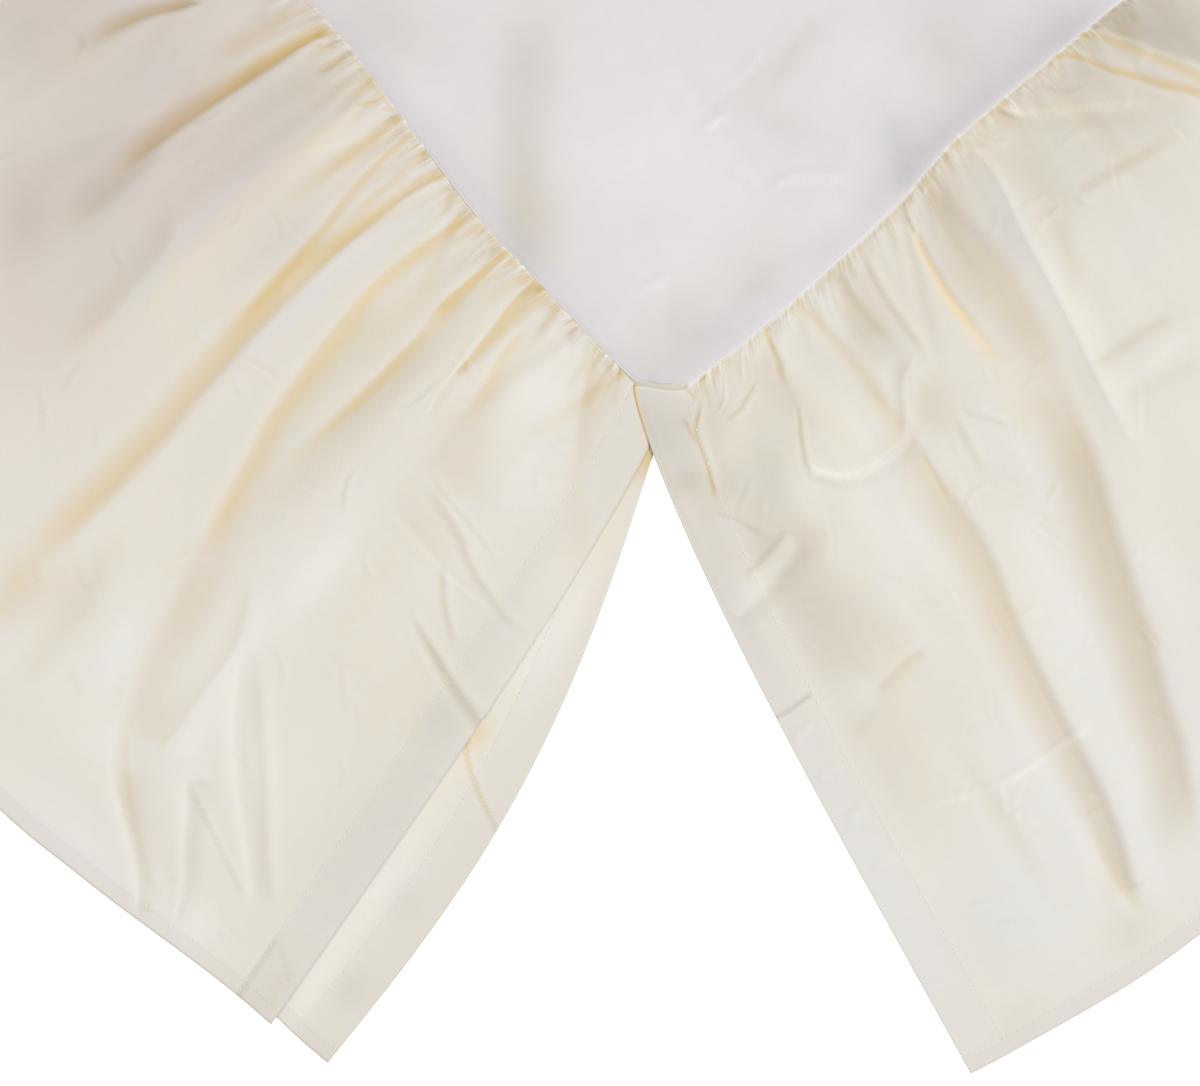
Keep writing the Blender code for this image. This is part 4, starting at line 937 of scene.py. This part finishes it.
def closed_sheet(name, plan, cloth):
    """A closed sheet on the cloth's grid, with its tone and its thread directions.

    The top has every point, a cloth's thickness above the underside. The underside has one point for every
    few, each as low as the lowest of its neighbours, and fans of triangles join the two round the rim.
    """
    low = cloth.surface()
    x, y = plan(cloth.along, cloth.out)
    few = np.s_[::COARSE, ::COARSE]
    top = np.stack((x, y, low + SHEET), axis=-1).reshape(-1, 3)
    under = np.stack((x[few], y[few], lowest_near(low)[few]), axis=-1).reshape(-1, 3)
    fine = np.arange(low.size).reshape(low.shape)
    coarse = np.arange(len(under)).reshape(x[few].shape) + len(top)
    faces = np.concatenate((quads(fine), quads(coarse)[:, ::-1]))
    fans = rim_fans(fine, coarse)
    if not faces_upwards(x, y):
        faces, fans = faces[:, ::-1], fans[:, ::-1]

    mesh = bpy.data.meshes.new(name)
    mesh.vertices.add(len(top) + len(under))
    mesh.vertices.foreach_set("co", (np.concatenate((top, under)) * MM).ravel())
    corners = np.concatenate((faces.ravel(), fans.ravel()))
    starts = np.concatenate((np.arange(len(faces)) * 4, 4 * len(faces) + np.arange(len(fans)) * 3))
    mesh.loops.add(len(corners))
    mesh.loops.foreach_set("vertex_index", corners.astype(np.int32))
    mesh.polygons.add(len(starts))
    mesh.polygons.foreach_set("loop_start", starts.astype(np.int32))
    flat = np.arange(len(starts)) >= len(faces)
    mesh.attributes.new("sharp_face", "BOOLEAN", "FACE").data.foreach_set("value", flat)
    mesh.update(calc_edges=True)
    mesh.validate()
    # The tone attribute: painted warm shade, painted shade and light, plies, and rosy tint.
    tone = np.stack((cloth.warm, np.clip(cloth.shade, -0.2, 0.8), cloth.ply, cloth.rosy), axis=-1)
    tone = np.concatenate((tone.reshape(-1, 4), tone[few].reshape(-1, 4)))
    mesh.color_attributes.new("tone", "FLOAT_COLOR", "POINT").data.foreach_set("color", tone.ravel())
    threads = np.stack((cloth.places + 0 * low, cloth.down + 0 * low), axis=-1)
    threads = np.concatenate((threads.reshape(-1, 2), threads[few].reshape(-1, 2))) * MM
    mesh.uv_layers.new(name="threads").data.foreach_set("uv", threads[corners].ravel())
    return placed(name, mesh)


class Value:
    """A number that varies over a surface. It wraps a socket, and arithmetic on it adds Math nodes."""

    def __init__(self, finish, socket):
        self.finish, self.socket = finish, socket

    def _math(self, operation, *values):
        return self.finish.node("ShaderNodeMath", {"operation": operation}, dict(enumerate(values)))

    def __add__(self, other):
        return self._math("ADD", self, other)

    __radd__ = __add__

    def __sub__(self, other):
        return self._math("SUBTRACT", self, other)

    def __rsub__(self, other):
        return self._math("SUBTRACT", other, self)

    def __mul__(self, other):
        return self._math("MULTIPLY", self, other)

    __rmul__ = __mul__

    def sine(self):
        return self._math("SINE", self)

    def outputs(self):
        """All the outputs of the node that it comes from."""
        return [Value(self.finish, socket) for socket in self.socket.node.outputs]


class Finish:
    """A material being put together round its Principled shader."""

    def __init__(self, name):
        self.material = bpy.data.materials.new(name)
        self.material.use_nodes = True
        self.tree = self.material.node_tree
        self.shader = self.tree.nodes["Principled BSDF"]

    def node(self, kind, settings=None, sockets=None, output=0):
        """Adds a node: its settings first, and then the value or link of each socket."""
        made = self.tree.nodes.new(kind)
        for name, value in (settings or {}).items():
            setattr(made, name, value)
        self.fill(made, sockets or {})
        return Value(self, made.outputs[output])

    def fill(self, node, sockets):
        """Gives a node's sockets their values or links."""
        for name, value in sockets.items():
            if isinstance(value, Value):
                self.tree.links.new(value.socket, node.inputs[name])
            else:
                node.inputs[name].default_value = value

    def mix(self, factor, first, second):
        """A colour between two, by a factor that may pass 1."""
        first, second = [(*c, 1.0) if isinstance(c, tuple) else c for c in (first, second)]
        settings = {"data_type": "RGBA", "clamp_factor": False}
        return self.node("ShaderNodeMix", settings, {0: factor, 6: first, 7: second}, output=2)

    def fading(self, up, reach, left):
        """A share that falls softly from 1 at the seam to what is left at reach."""
        settings = {"interpolation_type": "SMOOTHSTEP"}
        sockets = {"Value": up, "From Min": 0.0, "From Max": reach, "To Min": 1.0, "To Max": left}
        return self.node("ShaderNodeMapRange", settings, sockets)

    def noise(self, at, scale, detail):
        """Noise about 0.5."""
        return self.node("ShaderNodeTexNoise", {}, {"Vector": at, "Scale": scale, "Detail": detail})

    def drawn_out(self, across, up, scale, detail):
        """Noise about 0.5 that is drawn out down the drop, where up is less than its true height."""
        return self.noise(self.node("ShaderNodeCombineXYZ", {}, {"X": across, "Y": up}), scale, detail)


def cloth_finish(name, plain, warmed, turned, gathered, uneven):
    """Woven cotton: its colour from the sheet's tone of painted shade and light, a plain weave, slubs and
    soft blotches.

    Where it is gathered, fine puckers run out of the seam and longer streaks follow them down the drop: the
    puckers as bumps with painted light and shade, the streaks as painted light and shade only.
    """
    finish = Finish(name)
    tone, rosy = finish.node("ShaderNodeVertexColor", {"layer_name": "tone"}).outputs()
    warm, shade, ply = finish.node("ShaderNodeSeparateColor", {}, {"Color": tone}).outputs()
    threads = finish.node("ShaderNodeUVMap", {"uv_map": "threads"})
    place = finish.node("ShaderNodeTexCoord", output=3)
    cloudy = finish.noise(place, 16.0, 4.0) - 0.5
    thread_noise = finish.noise(threads, 1400.0, 2.0) - 0.5
    across, up = finish.node("ShaderNodeSeparateXYZ", {}, {"Vector": threads}).outputs()[:2]
    mottled = finish.noise(place, 75.0, 3.0) - 0.5
    # light carries the tone's painted shade and light, and some random unevenness
    light = 1.0 - shade + uneven * (0.03 * cloudy + 0.04 * mottled + 0.03 * thread_noise)
    weave = (across * 7000.0).sine() * (up * 7000.0).sine()
    slub = finish.noise(threads, 220.0, 5.0) - 0.5
    relief = 0.3 * weave + 0.8 * slub + 0.5 * thread_noise
    # warmth: the tone's painted warm shade, and random warmth from the noises
    warmth = warm + 0.25 * cloudy + 0.3 * mottled + 0.3 * slub
    if gathered:
        streak = (finish.drawn_out(across, 0.07 * up, 95.0, 3.0) - 0.5) * finish.fading(up, 0.3, 0.2)
        tuft = (finish.drawn_out(across, 0.13 * up, 240.0, 2.0) - 0.5) * finish.fading(up, 0.028, 0.0)
        pucker = (finish.drawn_out(across, 0.16 * up, 620.0, 2.0) - 0.5) * finish.fading(up, 0.012, 0.0)
        patchy = (finish.drawn_out(across, 0.4 * up, 52.0, 2.0) * 3.2 - 0.95) * (1.0 - ply)
        tuft, pucker = tuft * patchy, pucker * patchy
        # painted light and shade of the streaks, tufts and puckers; the tufts and puckers are also bumps
        light = light + 0.10 * streak + 0.26 * tuft + 0.34 * pucker
        relief = relief + 14.0 * pucker + 18.0 * tuft
        warmth = warmth - 2.2 * tuft - 2.6 * pucker
    colour = finish.mix(warmth, finish.mix(ply, plain, turned), warmed)
    colour = finish.mix(rosy, colour, ROSE)
    colour = finish.node("ShaderNodeVectorMath", {"operation": "SCALE"}, {0: colour, "Scale": light})
    bump = finish.node("ShaderNodeBump", {}, {"Strength": 0.3, "Distance": 0.0002, "Height": relief})
    finish.fill(finish.shader, {
        "Base Color": colour, "Roughness": 0.78 + 0.12 * cloudy + 0.06 * thread_noise, "Normal": bump,
        "Specular IOR Level": 0.25, "Sheen Weight": 0.12, "Sheen Roughness": 0.6,
    })
    return finish.material


def thread_finish():
    """Sewing thread: pale, with a fine twist along it."""
    finish = Finish("sewing_thread")
    place = finish.node("ShaderNodeTexCoord", output=3)
    twist = finish.noise(place, 2600.0, 1.0) - 0.5
    colour = finish.mix(0.5 + twist, THREAD, tuple(0.9 * part for part in THREAD))
    finish.fill(finish.shader, {"Base Color": colour, "Roughness": 0.6 + 0.2 * twist})
    return finish.material


def stitches(name, lines, finish):
    """Lock stitches along lines of points. Each is a short barrel, its girth sin(pi t)^0.4 along its axis."""
    barrels = []
    for line in lines:
        travelled = np.concatenate(([0.0], np.cumsum(np.linalg.norm(np.diff(line, axis=0), axis=1))))
        starts = np.arange(1.0, travelled[-1] - STITCH, STITCH)
        both = [
            np.stack([np.interp(at, travelled, line[:, k]) for k in range(3)], axis=-1)
            for at in (starts, starts + THREAD_SHARE * STITCH)
        ]
        barrels.append(np.stack(both, axis=1))
    ends = np.concatenate(barrels)
    axis = ends[:, 1] - ends[:, 0]
    axis = axis / np.linalg.norm(axis, axis=1, keepdims=True)
    flat = np.cross(np.array((0.0, 0.0, 1.0)), axis)
    flat = flat / np.linalg.norm(flat, axis=1, keepdims=True)
    upright = np.cross(axis, flat)
    t = np.array((0.0, 0.12, 0.5, 0.88, 1.0))
    turn = (np.arange(5) * 2 * np.pi / 5)[:, None]
    girth = THREAD_RADIUS * np.clip(np.sin(np.pi * t), 0.05, None) ** 0.4
    middle = ends[:, None, 0] + (ends[:, 1] - ends[:, 0])[:, None] * t[None, :, None]
    spokes = np.cos(turn) * flat[:, None, None] + np.sin(turn) * upright[:, None, None]
    points = middle[:, :, None] + girth[None, :, None, None] * spokes
    count, rings, sides = points.shape[:3]
    index = np.arange(count * rings * sides).reshape(count, rings, sides)
    after = np.roll(index, -1, axis=2)
    walls = np.stack((index[:, :-1], after[:, :-1], after[:, 1:], index[:, 1:]), axis=-1).reshape(-1, 4)
    caps = np.concatenate((index[:, 0, ::-1], index[:, -1])).reshape(-1, sides)
    mesh = bpy.data.meshes.new(name)
    mesh.from_pydata((points.reshape(-1, 3) * MM).tolist(), [], walls.tolist() + caps.tolist())
    mesh.shade_smooth()
    mesh.materials.append(finish)
    return placed(name, mesh)


def seam_lines(plan, cloth):
    """Where a drop's hems are stitched: along its foot, and down each end that has a turned band."""
    top = np.stack((*plan(cloth.along, cloth.out), cloth.surface() + SHEET + 0.02), axis=-1)
    rows = np.searchsorted(cloth.down[0], (1.0, DROP - HEM + 0.6))
    columns = [np.searchsorted(cloth.places[:, 0], place) for place in cloth.stitched]
    return [top[:, rows[1]]] + [top[column, rows[0]:] for column in columns]


deck_low, deck_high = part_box("deck_panel")
CORNER_X = (deck_low[0] + deck_high[0]) / 2 / MM - DECK_WIDTH / 2
CORNER_Y = deck_high[1] / MM - DECK_LENGTH


def on_left(along, out):
    """A side sheet's place on the left of the deck."""
    return CORNER_X - out, CORNER_Y + along


def on_right(along, out):
    """A side sheet's place on the right of the deck."""
    return CORNER_X + DECK_WIDTH + out, CORNER_Y + along


def at_foot(along, out):
    """The foot sheet's place below the deck."""
    return CORNER_X + along, CORNER_Y - out


def on_deck(along, out):
    """The deck's own place."""
    return CORNER_X + along, CORNER_Y + out


left_places = spread((5, 18, 1.1), (18, 110, 0.85), (110, 320, 1.3), (320, 1885, 14.0), (1885, 1905, 2.5))
right_places = spread((5, 18, 1.6), (18, 1885, 4.6), (1885, 1905, 2.5))
foot_places = spread(
    (-1, 1, 0.5), (1, 17.5, 1.1), (17.5, 300, 1.0), (300, DECK_WIDTH - 17.5, 12.0),
    (DECK_WIDTH - 17.5, DECK_WIDTH + 1, 1.6)
)
left_folds = [*SIDE_FOLDS, *repeated_valleys(345, 1830, 52, 0.4)]
foot_folds = [*FOOT_FOLDS, *repeated_valleys(340, 940, 46, 1.1)]
left = side_drop(left_folds, 11, left_places, DROP_ROWS, LAID)
right = side_drop(repeated_valleys(60, 1830, 56, 2.2), 23, right_places, PLAIN_DROP_ROWS, 60)
foot = foot_drop(foot_folds, 37, foot_places, DROP_ROWS)
deck = Deck()
left.lay(blotches=SIDE_BLOTCHES)
foot.lay(blotches=FOOT_BLOTCHES)
deck.lay(DECK_FOLDS, DECK_BLOTCHES)

drop_finish = cloth_finish("ivory_cotton", IVORY, YELLOW, TURNED, True, 1.0)
deck_finish = cloth_finish("white_cotton", WHITE, CREAM, WHITE, False, 2.0)
CUT_HEIGHT = 0.385                          # metres: the drop, its turned hem and its heading
drop_look = (drop_finish, "drop_cloth")
sheets = (
    # node, plan, cloth, finish and slot, flat size, held
    ("deck_panel", on_deck, deck, (deck_finish, "deck_cloth"), (1.015, 1.93), "laid"),
    ("side_drop_left", on_left, left, drop_look, (CUT_HEIGHT, 2.65), "gathered"),
    ("side_drop_right", on_right, right, drop_look, (CUT_HEIGHT, 2.65), "gathered"),
    ("foot_drop", at_foot, foot, drop_look, (CUT_HEIGHT, 1.45), "gathered"),
    ("corner_underlay_left", on_left, underlay(), drop_look, (CUT_HEIGHT, 0.15), "laid"),
    ("corner_underlay_right", on_right, underlay(), drop_look, (CUT_HEIGHT, 0.15), "laid"),
)

FLOOR_REACH = 20.0                          # metres
FLOOR_TOP = -0.0004                         # a little under the lowest cloth
floor_mesh = bpy.data.meshes.new("floor")
square = ((-1, -1), (1, -1), (1, 1), (-1, 1))
floor_points = [(x * FLOOR_REACH, y * FLOOR_REACH, FLOOR_TOP) for x, y in square]
floor_mesh.from_pydata(floor_points, [], [(0, 1, 2, 3)])
floor = placed("floor", floor_mesh)
floor_finish = Finish("pale_floor")
floor_finish.fill(floor_finish.shader, {
    "Base Color": (0.93, 0.93, 0.93, 1.0), "Roughness": 0.9,
    "Emission Color": (1.0, 1.0, 1.0, 1.0), "Emission Strength": 0.5,
})
floor_mesh.materials.append(floor_finish.material)

thread = thread_finish()
for node, plan, cloth, (finish, slot), flat, held in sheets:
    piece = closed_sheet(f"{node}_cloth", plan, cloth)
    piece.data.materials.append(finish)
    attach(piece, "root")
    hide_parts(node)
    if node != "deck_panel":
        sewn = stitches(f"{node}_stitches", seam_lines(plan, cloth), thread)
        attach(sewn, "root")

# Camera: straight above the left foot corner, rolled so that both drops run down the picture.
VIEW_ROLL = np.radians(-41.2)
VIEW_WIDTH = 0.5616                         # metres of the surface, across the picture
VIEW_HEIGHT = 2.2
VIEW_CENTRE = (-61.9, -27.8)                # from the deck's corner
SENSOR = 36.0
camera = placed("camera", bpy.data.cameras.new("camera"))
camera.data.sensor_width = SENSOR
camera.data.lens = SENSOR * VIEW_HEIGHT / VIEW_WIDTH
camera.location = ((CORNER_X + VIEW_CENTRE[0]) * MM, (CORNER_Y + VIEW_CENTRE[1]) * MM, VIEW_HEIGHT)
camera.rotation_euler = (0.0, 0.0, VIEW_ROLL)
bpy.context.scene.camera = camera


def soft_light(name, at, towards, size, power, colour):
    """A large square light that faces a point."""
    light = bpy.data.lights.new(name, "AREA")
    light.size, light.energy, light.color = size, power, colour
    lamp = placed(name, light)
    lamp.location = at
    way = np.array(towards) - np.array(at)
    flat = np.hypot(way[0], way[1])
    lamp.rotation_euler = (np.arctan2(flat, -way[2]), 0.0, np.arctan2(-way[0], way[1]))
    lamp.visible_camera = False


soft_light("key", (2.0, -2.9, 2.5), (-0.5, -0.8, 0.0), 2.2, 142.0, (0.985, 0.99, 1.0))
soft_light("fill", (-3.0, 1.6, 2.6), (-0.5, -0.6, 0.0), 2.6, 90.0, (1.0, 0.92, 0.78))
world = bpy.data.worlds.new("studio")
world.use_nodes = True
sky = world.node_tree.nodes["Background"]
sky.inputs["Color"].default_value = (1.0, 1.0, 1.0, 1.0)
sky.inputs["Strength"].default_value = 0.55
bpy.context.scene.world = world
bpy.context.scene.view_settings.view_transform = "Standard"
